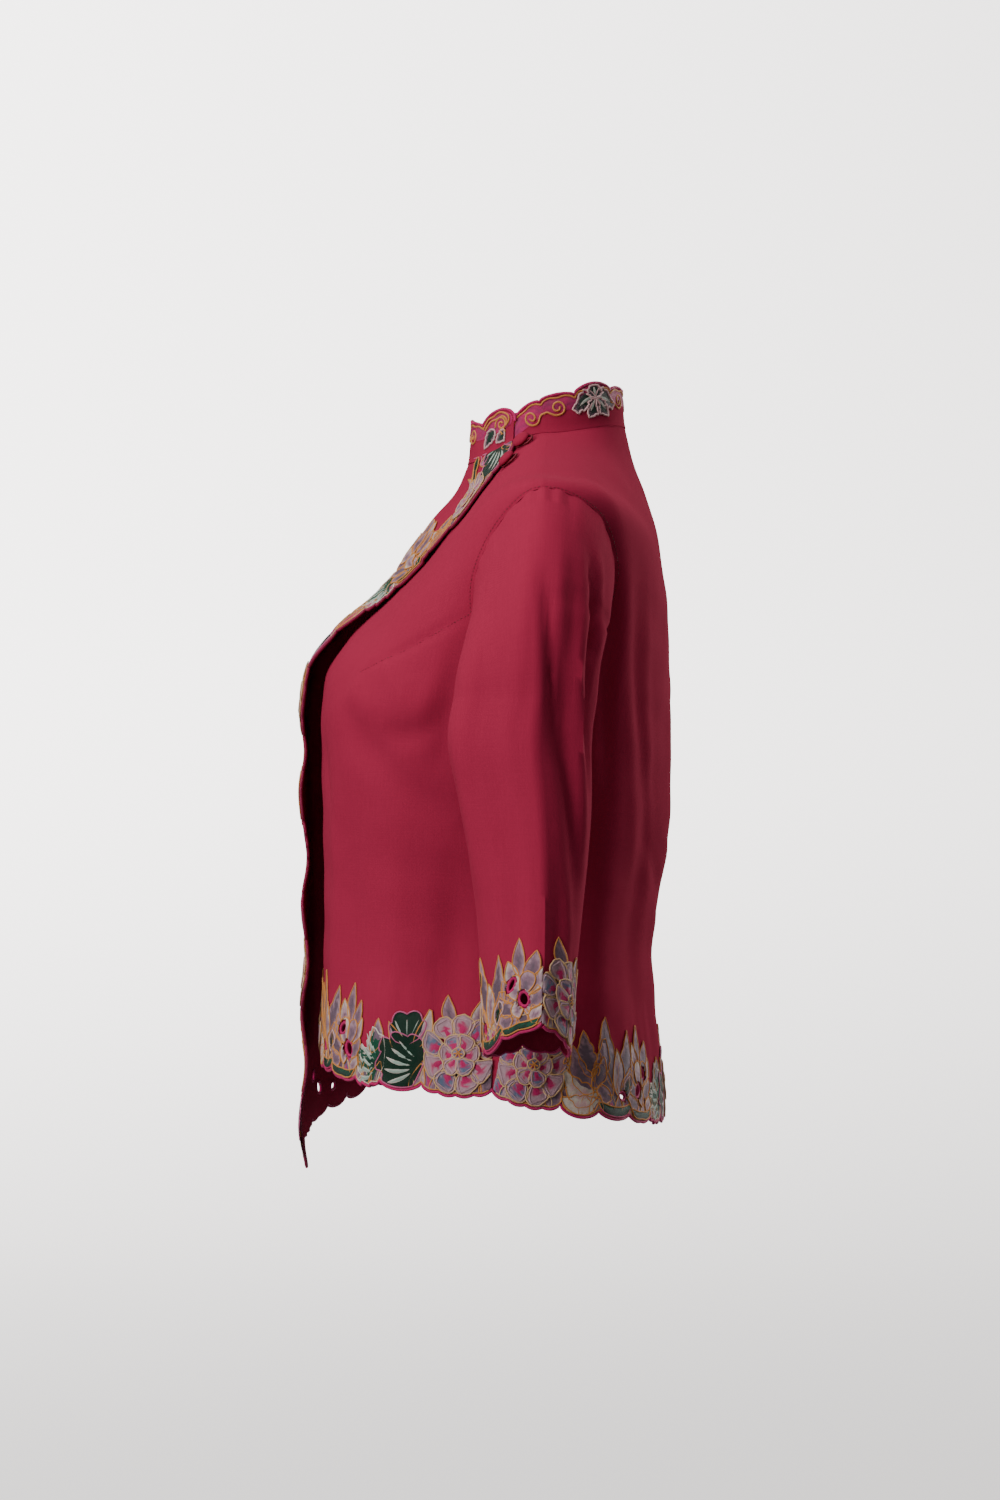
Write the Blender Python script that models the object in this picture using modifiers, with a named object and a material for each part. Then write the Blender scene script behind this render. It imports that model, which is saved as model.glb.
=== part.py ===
# Kebaya blouse, worn shape: a hip-length blouse with a stand collar, set-in three-quarter sleeves and long
# fronts. The right front laps over the left one and fastens at the left of the neck with two covered buttons
# and loops. Collar, front edge, hem and cuffs are cut to a scalloped, cutwork border.
# Metres, +Z up. The wearer faces -Y and their left is +X. The origin is in the middle of the neck opening,
# at the height of the shoulder seams, where the shoulders carry the blouse.
import math

import bpy
import numpy as np
from mathutils import Vector
from mathutils.geometry import delaunay_2d_cdt

CLOTH = 0.0012           # wall of the cotton cloth with its border
SEAM_GAP = 0.0004        # between two pieces that are sewn together
LAP_GAP = 0.0014         # air between the two fronts where they lap
PER_DEGREE = 0.0029      # width of one degree round the body, on the flat
SLEEVE_PER_DEGREE = 0.00085

NECK_LEVEL = -0.057
FINE_ABOVE = -0.001      # the cloth is netted closer over the shoulders
SIDE_SEAM = 90.0
UNDER_EDGE_X = -0.030    # front edge of the left front, under the right one
COLLAR_TAB_ANGLE = 66.0  # where the collar's lapping end stops, left of the centre front
COLLAR_UNDER_ANGLE = 14.0

# Sections of the body from the neck down. Level is the distance down from the shoulder; front, side and back
# are the section's own extremes, and the powers say how square it is in front and behind.
TORSO_COLUMNS = (
    "level", "half_width", "front", "side_y", "back",
    "z_front", "z_side", "z_back", "front_power", "back_power",
)
TORSO = (
    (-0.057, 0.062, -0.055, 0.005, 0.068, -0.005, 0.017, 0.025, 2.00, 2.00),
    (-0.032, 0.085, -0.065, 0.004, 0.074, -0.028, 0.007, 0.000, 1.60, 2.00),
    (-0.003, 0.118, -0.0805, 0.002, 0.083, -0.050, -0.007, -0.026, 1.43, 2.05),
    (0.029, 0.154, -0.0955, 0.000, 0.092, -0.072, -0.020, -0.055, 1.40, 2.10),
    (0.062, 0.187, -0.1135, 0.000, 0.098, -0.098, -0.034, -0.090, 1.48, 2.20),
    (0.096, 0.184, -0.1315, -0.006, 0.1010, -0.120, -0.075, -0.120, 1.80, 2.30),
    (0.132, 0.176, -0.1530, -0.013, 0.1020, -0.144, -0.120, -0.150, 2.15, 2.35),
    (0.165, 0.170, -0.1690, -0.020, 0.1030, -0.168, -0.165, -0.178, 2.45, 2.40),
    (0.200, 0.168, -0.1735, -0.026, 0.1030, -0.198, -0.200, -0.205, 2.75, 2.40),
    (0.245, 0.163, -0.1735, -0.030, 0.1030, -0.243, -0.245, -0.247, 2.75, 2.40),
    (0.300, 0.155, -0.1725, -0.034, 0.1010, -0.300, -0.300, -0.300, 2.65, 2.40),
    (0.350, 0.150, -0.1720, -0.036, 0.0940, -0.350, -0.350, -0.350, 2.60, 2.30),
    (0.385, 0.150, -0.1720, -0.037, 0.0890, -0.385, -0.385, -0.385, 2.60, 2.30),
    (0.430, 0.157, -0.1725, -0.038, 0.0910, -0.430, -0.430, -0.430, 2.60, 2.35),
    (0.480, 0.166, -0.1730, -0.038, 0.0950, -0.480, -0.480, -0.480, 2.60, 2.40),
    (0.540, 0.174, -0.1740, -0.038, 0.0980, -0.540, -0.540, -0.540, 2.60, 2.40),
    (0.610, 0.180, -0.1740, -0.038, 0.1000, -0.610, -0.610, -0.610, 2.60, 2.40),
)

# Armhole of the left side, seen from the side: front to back and height, from the shoulder seam forwards.
ARMHOLE_COLUMNS = ("y", "z")
ARMHOLE = (
    (0.001, -0.0345), (-0.020, -0.046), (-0.040, -0.073), (-0.052, -0.108), (-0.047, -0.147),
    (-0.018, -0.176), (0.022, -0.165), (0.046, -0.133), (0.055, -0.095), (0.046, -0.060), (0.026, -0.042),
)

# Sections of the left sleeve below the armpit.
CUFF_CAP = 0.100         # flat length of the cap, from the armhole to the first level section
CAP_Z = -0.190
SLEEVE_COLUMNS = ("z", "x", "y", "half_width", "half_depth")
SLEEVE = (
    (-0.150, 0.2125, -0.012, 0.0435, 0.0480),
    (-0.190, 0.2150, -0.017, 0.0445, 0.0515),
    (-0.225, 0.2175, -0.020, 0.0455, 0.0530),
    (-0.270, 0.2210, -0.016, 0.0455, 0.0490),
    (-0.310, 0.2240, -0.0135, 0.0455, 0.0440),
    (-0.350, 0.2265, -0.0125, 0.0455, 0.0388),
    (-0.390, 0.2285, -0.013, 0.0450, 0.0350),
    (-0.430, 0.2300, -0.0140, 0.0445, 0.0322),
    (-0.500, 0.2320, -0.0160, 0.0440, 0.0290),
)
CREASE_RISE = 0.0055     # the pressed crease along the outside of the sleeve
CREASE_WIDTH = 0.0085
CREASE_SHIFT = 0.0125    # the crease lies behind the middle of the sleeve
CUFF_Z = -0.4535
CUFF_ARCH = 0.022          # how much higher the cuff is cut over the outer side of the arm
CUFF_ARCH_TURN = 60.0      # and how far round the arm that reaches, in degrees

# Base line of the hem: the level of the cloth's edge at angles round the body, before the scallops drop.
HEM_COLUMNS = ("angle", "level")
LEFT_HEM = ((-14.0, 0.472), (10.0, 0.473), (32.0, 0.477), (50.0, 0.482), (70.0, 0.485), (90.0, 0.489))
BACK_HEM = ((90.0, 0.489), (115.0, 0.505), (140.0, 0.515), (180.0, 0.519), (220.0, 0.515), (245.0, 0.505),
            (270.0, 0.489))
RIGHT_HEM = ((-90.0, 0.489), (-64.0, 0.500), (-40.0, 0.515), (-20.0, 0.526), (-6.0, 0.538), (6.0, 0.563))

# Free edge of the right front below the collar: half width from the centre, and height.
LAP_COLUMNS = ("x", "z")
LAP_EDGE = (
    (0.0660, -0.004), (0.0730, -0.020), (0.0790, -0.034), (0.0800, -0.047), (0.0740, -0.060),
    (0.0630, -0.074), (0.0540, -0.089), (0.0490, -0.105), (0.0460, -0.120), (0.0430, -0.138),
    (0.0370, -0.160), (0.0310, -0.190), (0.0275, -0.230), (0.0260, -0.300), (0.0260, -0.380),
    (0.0250, -0.460), (0.0230, -0.520), (0.0180, -0.563),
)

# Largest folds. Each one runs along a bent line; depth is negative for a trough.
FOLD_COLUMNS = ("a0", "l0", "a1", "l1", "a2", "l2", "width", "depth")
BODY_FOLDS = (
    (40, 0.188, 52, 0.245, 80, 0.292, 0.013, -0.0042),   # trough from under the bust to the waist
    (50, 0.160, 63, 0.178, 70, 0.225, 0.012, 0.0030),    # fullness between dart and armhole
    (72, 0.205, 66, 0.232, 56, 0.214, 0.010, -0.0032),   # slack under the armhole
    (76, 0.137, 63, 0.149, 46, 0.170, 0.0035, -0.0016),  # bust dart, from the armhole
    (33, 0.250, 35, 0.340, 32, 0.470, 0.016, 0.0030),    # flutes towards the hem
    (46, 0.300, 47, 0.380, 45, 0.500, 0.015, -0.0032),
    (62, 0.290, 60, 0.380, 62, 0.510, 0.016, 0.0030),
    (77, 0.300, 79, 0.400, 77, 0.510, 0.015, -0.0030),
    (104, 0.230, 106, 0.340, 104, 0.520, 0.018, -0.0035),
    (122, 0.160, 125, 0.320, 121, 0.530, 0.017, 0.0032),
    (140, 0.200, 142, 0.340, 139, 0.530, 0.018, -0.0030),
    (160, 0.150, 161, 0.330, 158, 0.530, 0.018, 0.0028),
    (112, 0.075, 119, 0.150, 116, 0.250, 0.014, 0.0040),  # slack of the back beside the armhole
)
SLEEVE_FOLDS = (
    (338, 0.045, 330, 0.150, 312, 0.260, 0.009, -0.0055),  # folds falling from the back of the cap
    (318, 0.035, 316, 0.120, 300, 0.230, 0.008, 0.0045),
    (300, 0.025, 296, 0.090, 290, 0.170, 0.006, -0.0060),
    (285, 0.020, 276, 0.070, 268, 0.130, 0.008, 0.0040),
    (40, 0.060, 36, 0.180, 30, 0.330, 0.010, -0.0025),
    (75, 0.050, 70, 0.170, 78, 0.260, 0.010, 0.0030),
    (20, 0.150, 16, 0.250, 14, 0.340, 0.008, 0.0018),
    (340, 0.220, 345, 0.290, 338, 0.350, 0.010, -0.0022),
    (100, 0.130, 110, 0.170, 130, 0.190, 0.009, -0.0030),
    (240, 0.140, 225, 0.190, 205, 0.220, 0.009, -0.0030),
)

# One repeat of the border: width along the edge, how far its scallop drops, small lobes or teeth on it, and
# the cutwork hole beside it (place along the motif, height above the edge, half length, half height, tilt).
BORDER_COLUMNS = ("width", "drop", "lobes", "lobe", "toothed", "holes")
BORDER = {
    "lily": (0.040, 0.0050, 2, 0.0010, False, ((0.40, 0.0185, 0.0058, 0.0043, 60.0),
                                               (0.70, 0.0325, 0.0050, 0.0036, -55.0))),
    "serrated_leaf": (0.030, 0.0040, 3, 0.0028, True, ()),
    "fan_leaf": (0.036, 0.0065, 1, 0.0000, False, ()),
    "peony": (0.056, 0.0065, 4, 0.0016, False, ()),
    "pale_leaf": (0.034, 0.0075, 1, 0.0000, False, ()),
    "crescent": (0.036, 0.0055, 1, 0.0000, False, ((0.74, 0.0130, 0.0040, 0.0034, -15.0),)),
    "scroll": (0.028, 0.0030, 1, 0.0000, False, ()),
}
HEM_REPEAT = ("lily", "serrated_leaf", "fan_leaf", "peony", "pale_leaf", "crescent")
CUFF_REPEAT = ("lily", "crescent", "peony", "lily", "fan_leaf", "peony")
LAP_REPEAT = ("scroll", "serrated_leaf", "lily", "scroll", "peony", "fan_leaf")
COLLAR_REPEAT = ("scroll", "scroll", "scroll", "scroll", "fan_leaf")

BUTTON_RADIUS = 0.0074
BUTTON_HEIGHT = 0.0050
SHANK_RADIUS = 0.0022
LOOP_RADIUS = 0.0009
BUTTON_LEVELS = (-0.0460, -0.0200)   # places along the lapping edge, as levels of the body
BUTTON_SETBACK = 0.0078              # button centre from the outermost point of the edge beside it

MAROON = (0.36, 0.022, 0.052)
BUTTON_COLOUR = (0.33, 0.020, 0.048)


def column(table, columns, name):
    return np.array([row[columns.index(name)] for row in table], float)


def curve_through(knots, values, at):
    # Smooth curve through the rows of a table, running on straight past its ends
    slopes = np.gradient(values, knots)
    at = np.asarray(at, float)
    past = np.minimum(at - knots[0], 0.0) * slopes[0] + np.maximum(at - knots[-1], 0.0) * slopes[-1]
    i = np.clip(np.searchsorted(knots, at) - 1, 0, len(knots) - 2)
    step = knots[i + 1] - knots[i]
    t = np.clip((at - knots[i]) / step, 0.0, 1.0)
    a = (1 + 2 * t) * (1 - t) ** 2
    b = t * (1 - t) ** 2
    c = t * t * (3 - 2 * t)
    d = t * t * (t - 1)
    return a * values[i] + b * step * slopes[i] + c * values[i + 1] + d * step * slopes[i + 1] + past


def smooth(low, high, value):
    t = np.clip((np.asarray(value, float) - low) / (high - low), 0.0, 1.0)
    return t * t * (3 - 2 * t)


TORSO_AT = {name: column(TORSO, TORSO_COLUMNS, name) for name in TORSO_COLUMNS}


def torso_form(angle, level):
    # Point of the plain form at an angle from the centre front, towards the wearer's left
    part = {name: curve_through(TORSO_AT["level"], TORSO_AT[name], level) for name in TORSO_COLUMNS[1:]}
    turn = np.radians(angle)
    out, ahead = np.sin(turn), np.cos(turn)
    in_front = ahead > 0
    depth = np.where(in_front, part["side_y"] - part["front"], part["back"] - part["side_y"])
    power = np.where(in_front, part["front_power"], part["back_power"])
    reach = (np.abs(out / part["half_width"]) ** power + np.abs(ahead / depth) ** power) ** (-1 / power)
    end_z = np.where(in_front, part["z_front"], part["z_back"])
    z = part["z_side"] + (end_z - part["z_side"]) * (1 - np.abs(out) ** 5)
    return np.stack([reach * out, part["side_y"] - reach * ahead, z], axis=-1)


def fold_depth(across, along, table, per_degree):
    # Sum of the folds at points of the flat cloth, given as angle and distance
    total = np.zeros(np.shape(across))
    for row in table:
        a0, l0, a1, l1, a2, l2, width, depth = row
        near = (across - a1 + 180.0) % 360.0 - 180.0 + a1
        t = np.linspace(0, 1, 13)
        line_a = (1 - t) ** 2 * a0 + 2 * t * (1 - t) * a1 + t * t * a2
        line_l = (1 - t) ** 2 * l0 + 2 * t * (1 - t) * l1 + t * t * l2
        best = np.full(np.shape(across), 1e9)
        where = np.zeros(np.shape(across))
        for k in range(len(t) - 1):
            start = np.array([line_a[k] * per_degree, line_l[k]])
            run = np.array([line_a[k + 1] * per_degree, line_l[k + 1]]) - start
            dx, dy = near * per_degree - start[0], along - start[1]
            share = np.clip((dx * run[0] + dy * run[1]) / (run @ run), 0, 1)
            gap = np.hypot(dx - share * run[0], dy - share * run[1])
            nearer = gap < best
            best = np.where(nearer, gap, best)
            where = np.where(nearer, t[k] + share / (len(t) - 1), where)
        total += depth * np.exp(-((best / width) ** 2)) * np.sin(np.pi * np.clip(where, 0.04, 0.96)) ** 0.7
    return total


def outward(surface, across, along, step_a, step_l):
    # Unit normal of a surface, by small steps on the flat cloth
    da = surface(across + step_a, along) - surface(across - step_a, along)
    dl = surface(across, along + step_l) - surface(across, along - step_l)
    normal = np.cross(dl, da)
    return normal / np.linalg.norm(normal, axis=-1, keepdims=True)


def body_cloth(angle, level, lift=0.0):
    # Body surface with its folds; both sides fold alike
    angle, level = np.asarray(angle, float), np.asarray(level, float)
    half_turn = np.abs((angle + 180.0) % 360.0 - 180.0)
    rise = fold_depth(half_turn, level, BODY_FOLDS, PER_DEGREE) + lift
    normal = outward(torso_form, angle, level, 0.5, 0.002)
    return torso_form(angle, level) + normal * rise[..., None]


def lap_lift(angle, level):
    # How far the right front stands off the left one: it bulges forward in the middle, lies down on the left
    # front above the bust and hangs free below it
    angle, level = np.asarray(angle, float), np.asarray(level, float)
    lapped = smooth(-34.0, -18.0, angle) * (CLOTH + LAP_GAP)
    flare = (0.0042 * smooth(-0.045, 0.010, level) + 0.0080 * smooth(0.050, 0.170, level))
    flare = flare * smooth(-42.0, -2.0, angle)
    flare = flare * (1 - smooth(13.0, np.where(level > 0.05, 29.0, 50.0), angle)
                     * (1 - smooth(0.130, 0.200, level)))
    wave = 0.0024 * np.sin(level * 75.0) * smooth(0.180, 0.260, level) * smooth(-12.0, 8.0, angle)
    return lapped + flare + wave


def lapping_cloth(angle, level):
    return body_cloth(angle, level, lap_lift(angle, level))


def on_body(first, first_value, second, second_value, angle, level):
    # Angle and level of the point of the plain form with two given coordinates, found by Newton's method
    want = np.array([first_value, second_value])
    at = np.array([angle, level], float)
    for _ in range(40):
        here = torso_form(at[0], at[1])[[first, second]]
        by_angle = (torso_form(at[0] + 0.1, at[1])[[first, second]] - here) / 0.1
        by_level = (torso_form(at[0], at[1] + 0.0005)[[first, second]] - here) / 0.0005
        move = np.linalg.lstsq(np.stack([by_angle, by_level], axis=1), want - here, rcond=None)[0]
        at = at + np.clip(move, (-4.0, -0.02), (4.0, 0.02))
    return at


def closed_curve(points, count):
    # Smooth closed curve through points, evenly spaced along its length
    points = np.asarray(points, float)
    n = len(points)
    fine = []
    for i in range(n):
        p0, p1, p2, p3 = (points[(i + k) % n] for k in (-1, 0, 1, 2))
        for t in np.linspace(0, 1, 12, endpoint=False):
            fine.append(0.5 * (2 * p1 + (p2 - p0) * t + (2 * p0 - 5 * p1 + 4 * p2 - p3) * t * t
                               + (3 * p1 - p0 - 3 * p2 + p3) * t ** 3))
    fine = np.array(fine + fine[:1])
    run = np.concatenate([[0], np.cumsum(np.linalg.norm(np.diff(fine, axis=0), axis=1))])
    at = np.linspace(0, run[-1], count, endpoint=False)
    return np.stack([np.interp(at, run, fine[:, k]) for k in range(fine.shape[1])], axis=1)


ARMHOLE_FLAT = np.array([on_body(1, y, 2, z, 90.0 + 500 * y, max(0.062, -z)) for y, z in ARMHOLE])
ARMHOLE_SCALE = np.array([PER_DEGREE, 1.0])
ARMHOLE_RING = closed_curve(ARMHOLE_FLAT * ARMHOLE_SCALE, 120)   # metres on the flat body cloth


def sleeve_form(turn, along):
    # Left sleeve: turn runs from the top of the cap to the front and round; along runs from the armhole down
    turn, along = np.broadcast_arrays(np.asarray(turn, float) % 360.0, np.asarray(along, float))
    knots = column(SLEEVE, SLEEVE_COLUMNS, "z")[::-1]

    def section(name, z):
        return curve_through(knots, column(SLEEVE, SLEEVE_COLUMNS, name)[::-1], z)

    def tube(z):
        angle = np.radians(turn)
        x = section("x", z) + section("half_width", z) * np.cos(angle)
        squeeze = 1 - 0.10 * np.cos(angle)
        y = section("y", z) - section("half_depth", z) * np.sin(angle) * squeeze
        y = y + CREASE_SHIFT * ((1 + np.cos(angle)) / 2) ** 2
        return np.stack([x, y, z + 0 * x], axis=-1)

    below = tube(CAP_Z - np.maximum(along - CUFF_CAP, 0.0))
    share = np.clip(along / CUFF_CAP, -0.2, 1.0)[..., None]
    ring = SLEEVE_RING
    place = turn / 360.0 * len(ring)
    i = np.floor(place).astype(int)
    part = (place - i)[..., None]
    start = ring[i % len(ring)] * (1 - part) + ring[(i + 1) % len(ring)] * part
    end = tube(np.full(np.shape(turn), CAP_Z))
    upper = ((1 + np.cos(np.radians(turn))) / 2)[..., None]
    leave = np.concatenate([0.10 + 0.85 * upper, np.zeros_like(upper), -1.0 + 0.30 * upper], axis=-1)
    reach = np.linalg.norm(end - start, axis=-1, keepdims=True)
    arrive = np.concatenate([np.zeros_like(upper), np.zeros_like(upper), -np.ones_like(upper)], axis=-1)
    t = share
    cap = ((1 + 2 * t) * (1 - t) ** 2 * start + t * (1 - t) ** 2 * leave * reach
           + t * t * (3 - 2 * t) * end + t * t * (t - 1) * arrive * reach)
    return np.where(along[..., None] >= CUFF_CAP, below, cap)


def armhole_start():
    # First ring of the sleeve: the armhole, taken in by the seam gap, starting at the shoulder seam
    flat = ARMHOLE_RING / ARMHOLE_SCALE
    points = torso_form(flat[:, 0], flat[:, 1])
    middle = points.mean(axis=0)
    inward = (middle - points) * np.array([0.0, 1.0, 1.0])
    inward /= np.linalg.norm(inward, axis=1, keepdims=True)
    return points + inward * 2.0 * SEAM_GAP + np.array([SEAM_GAP, 0.0, 0.0])


SLEEVE_RING = armhole_start()


def left_sleeve_cloth(turn, along):
    turn, along = np.asarray(turn, float), np.asarray(along, float)
    turn = turn % 360.0
    rise = fold_depth(turn, along, SLEEVE_FOLDS, SLEEVE_PER_DEGREE)
    rise = rise * smooth(0.010, 0.060, along) * (1 - 0.7 * smooth(0.320, 0.370, along))
    from_crease = np.minimum(turn, 360.0 - turn) * SLEEVE_PER_DEGREE
    rise = rise + CREASE_RISE * np.exp(-from_crease / CREASE_WIDTH) * smooth(0.030, 0.110, along)
    normal = -outward(sleeve_form, turn, along, 1.0, 0.002)
    return sleeve_form(turn, along) + normal * rise[..., None]


def mirrored(points):
    return points * np.array([-1.0, 1.0, 1.0])


def right_sleeve_cloth(turn, along):
    return mirrored(left_sleeve_cloth(turn, along))


def collar_height(angle):
    # Height of the top edge before its scallops, from the collar's under end (-346 degrees) round the left,
    # back, right and front to the tab
    knots = np.array([-346.0, -330.0, -312.0, -297.0, -280.0, -262.0, -240.0, -180.0, -90.0, -40.0, 0.0, 30.0,
                      50.0, 58.0, 63.0, 66.0])
    rise = np.array([0.008, 0.009, 0.012, 0.017, 0.0235, 0.0270, 0.0280, 0.0275, 0.028, 0.031, 0.032, 0.027,
                     0.0262, 0.0240, 0.0200, 0.0135])
    return curve_through(knots, rise, angle)


def collar_cloth(angle, height):
    angle, height = np.asarray(angle, float), np.asarray(height, float)
    base = lapping_cloth(angle, np.full(np.shape(angle), NECK_LEVEL))
    out = np.stack([np.sin(np.radians(angle)), -np.cos(np.radians(angle)), 0 * angle], axis=-1)
    lean = -0.09 * height
    rise = np.stack([0 * height, 0 * height, height + 1.6 * SEAM_GAP], axis=-1)
    return base + out * lean[..., None] + rise


class Ribbon:
    # A decorated edge: places along it, and above it into the cloth, measured on the real surface
    def __init__(self, surface, flat, inside, per_degree, upright=False, step=0.002):
        # inside is a place on the cloth, or None where the cloth lies at smaller distances all along; upright
        # measures straight along the cloth instead of square to the edge
        self.surface = surface
        scale = np.array([per_degree, 1.0])
        flat = np.asarray(flat, float)
        points = surface(flat[:, 0], flat[:, 1])
        run = np.concatenate([[0], np.cumsum(np.linalg.norm(np.diff(points, axis=0), axis=1))])
        self.length = run[-1]
        self.at = np.linspace(0, self.length, max(8, int(self.length / step)))
        self.flat = np.stack([curve_through(run, flat[:, k], self.at) for k in (0, 1)], axis=1)
        along = np.gradient(surface(self.flat[:, 0], self.flat[:, 1]), self.at, axis=0)
        along /= np.linalg.norm(along, axis=1, keepdims=True)
        a, l = self.flat[:, 0], self.flat[:, 1]
        by_a = (surface(a + 0.5, l) - surface(a - 0.5, l)) / (1.0 * per_degree)
        by_l = (surface(a, l + 0.001) - surface(a, l - 0.001)) / 0.002
        self.inward = np.zeros_like(self.flat)
        for k in range(len(a)):
            normal = np.cross(by_a[k], by_l[k])
            side = np.cross(normal, along[k])
            side /= np.linalg.norm(side)
            move = np.linalg.lstsq(np.stack([by_a[k], by_l[k]], axis=1), side, rcond=None)[0]
            toward = np.array([0.0, -1.0])
            if inside is not None:
                toward = (np.asarray(inside) - self.flat[k]) * scale
            self.inward[k] = move / scale * (1.0 if move @ toward > 0 else -1.0)
        if upright:
            self.inward = np.stack([0 * a, -1.0 / np.linalg.norm(by_l, axis=1)], axis=1)

    def place(self, at, above):
        flat = np.stack([np.interp(at, self.at, self.flat[:, k]) for k in (0, 1)], axis=-1)
        inward = np.stack([np.interp(at, self.at, self.inward[:, k]) for k in (0, 1)], axis=-1)
        return flat + inward * np.asarray(above)[..., None]


def lay_border(length, repeat, start=0):
    # Motifs end to end along an edge, their widths eased to fit it exactly
    names, total, k = [], 0.0, start
    while total < length:
        names.append(repeat[k % len(repeat)])
        total += BORDER[names[-1]][0]
        k += 1
    if total - length > BORDER[names[-1]][0] / 2 and len(names) > 1:
        total -= BORDER[names.pop()][0]
    ease = length / total
    laid, at = [], 0.0
    for name in names:
        width = BORDER[name][0] * ease
        laid.append((name, at, width))
        at += width
    return laid


def scallop(name, share):
    # Drop of the cut edge below its base line, across one motif
    _, drop, lobes, lobe, toothed, _ = BORDER[name]
    arch = drop * np.sin(np.pi * share) ** 0.55
    if lobes < 2:
        return arch
    phase = (share * lobes) % 1.0
    if toothed:
        return arch + lobe * (1 - phase) * np.minimum(1.0, 12 * share)
    return arch + lobe * np.sin(np.pi * phase)


def border_edge(ribbon, laid, spacing, holed=True):
    # Cut edge of the border, as flat points, and its cutwork holes
    edge, holes = [], []
    for name, start, width in laid:
        _, _, lobes, _, toothed, cuts = BORDER[name]
        per_lobe = 2 if toothed else max(3, round(width / max(lobes, 1) / spacing))
        share = np.linspace(0, 1, per_lobe * max(lobes, 1), endpoint=False)
        if toothed:
            ends = (np.arange(lobes) + 0.97) / lobes
            share = np.sort(np.concatenate([np.arange(lobes) / lobes, ends]))
        edge += list(ribbon.place(start + share * width, -scallop(name, share)))
        for along, above, half_long, half_high, tilt in cuts if holed else ():
            turn = np.linspace(0, 2 * np.pi, 8, endpoint=False)
            x = half_long * np.cos(turn)
            y = half_high * np.sin(turn)
            lean = math.radians(tilt)
            at = start + along * width + x * math.cos(lean) - y * math.sin(lean)
            up = above + x * math.sin(lean) + y * math.cos(lean)
            if start + along * width > 0.012 and start + along * width < ribbon.length - 0.012:
                holes.append(ribbon.place(at, up))
    return edge, holes


def inside_of(loop, points):
    # Which points lie inside a closed outline
    loop = np.asarray(loop)
    x, y = points[:, 0], points[:, 1]
    within = np.zeros(len(points), bool)
    for (x0, y0), (x1, y1) in zip(loop, np.roll(loop, -1, axis=0)):
        crosses = (y0 > y) != (y1 > y)
        rise = np.where(y1 == y0, 1e-12, y1 - y0)
        within ^= crosses & (x < (x1 - x0) * (y - y0) / rise + x0)
    return within


def distance_to(loop, points):
    loop = np.asarray(loop)
    best = np.full(len(points), 1e9)
    for start, end in zip(loop, np.roll(loop, -1, axis=0)):
        run = end - start
        share = np.clip(((points - start) @ run) / max(run @ run, 1e-12), 0, 1)
        best = np.minimum(best, np.linalg.norm(points - start - share[:, None] * run, axis=1))
    return best


def cut_cloth(outline, holes, spacing_a, spacing_l):
    # Flat panel in metres: an even net of points inside the cut outline, joined to it in triangles
    loops = [np.asarray(outline)] + [np.asarray(hole) for hole in holes]
    low, high = loops[0].min(axis=0), loops[0].max(axis=0)
    first_row, first_column = np.ceil(low / (spacing_a, spacing_l))[::-1]
    rows = np.arange(first_row * spacing_l, high[1], spacing_l)
    columns = np.arange(first_column * spacing_a, high[0], spacing_a)
    if low[1] < FINE_ABOVE:
        close = np.arange(first_row * spacing_l, FINE_ABOVE, spacing_l / 2)
        rows = np.concatenate([close, rows[rows > FINE_ABOVE + spacing_l / 4]])
    net = np.array([(x, y) for y in rows for x in columns])
    keep = inside_of(loops[0], net)
    for n, loop in enumerate(loops):
        margin = (0.42 if n == 0 else 0.30) * min(spacing_a, spacing_l)
        keep &= distance_to(loop, net) > margin
        if n:
            keep &= ~inside_of(loop, net)
    net = net[keep]
    points, edges = [], []
    for loop in loops:
        first = len(points)
        points += [Vector(p) for p in loop]
        edges += [(first + k, first + (k + 1) % len(loop)) for k in range(len(loop))]
    points += [Vector(p) for p in net]
    made = delaunay_2d_cdt(points, edges, [], 0, 1e-7)
    flat = np.array([tuple(p) for p in made[0]])
    faces = np.array([face for face in made[2] if len(face) == 3])
    middle = flat[faces].mean(axis=1)
    keep = inside_of(loops[0], middle)
    for loop in loops[1:]:
        keep &= ~inside_of(loop, middle)
    return flat, faces[keep]


def material(name, colour, roughness):
    made = bpy.data.materials.new(name)
    made.use_nodes = True
    shader = made.node_tree.nodes["Principled BSDF"]
    shader.inputs["Base Color"].default_value = (*colour, 1.0)
    shader.inputs["Roughness"].default_value = roughness
    shader.inputs["Metallic"].default_value = 0.0
    return made


def add_object(name, mesh, colour, roughness=0.85):
    made = bpy.data.objects.new(name, mesh)
    mesh.materials.append(material(name, colour, roughness))
    bpy.data.collections["kebaya_blouse"].objects.link(made)
    return made


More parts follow.
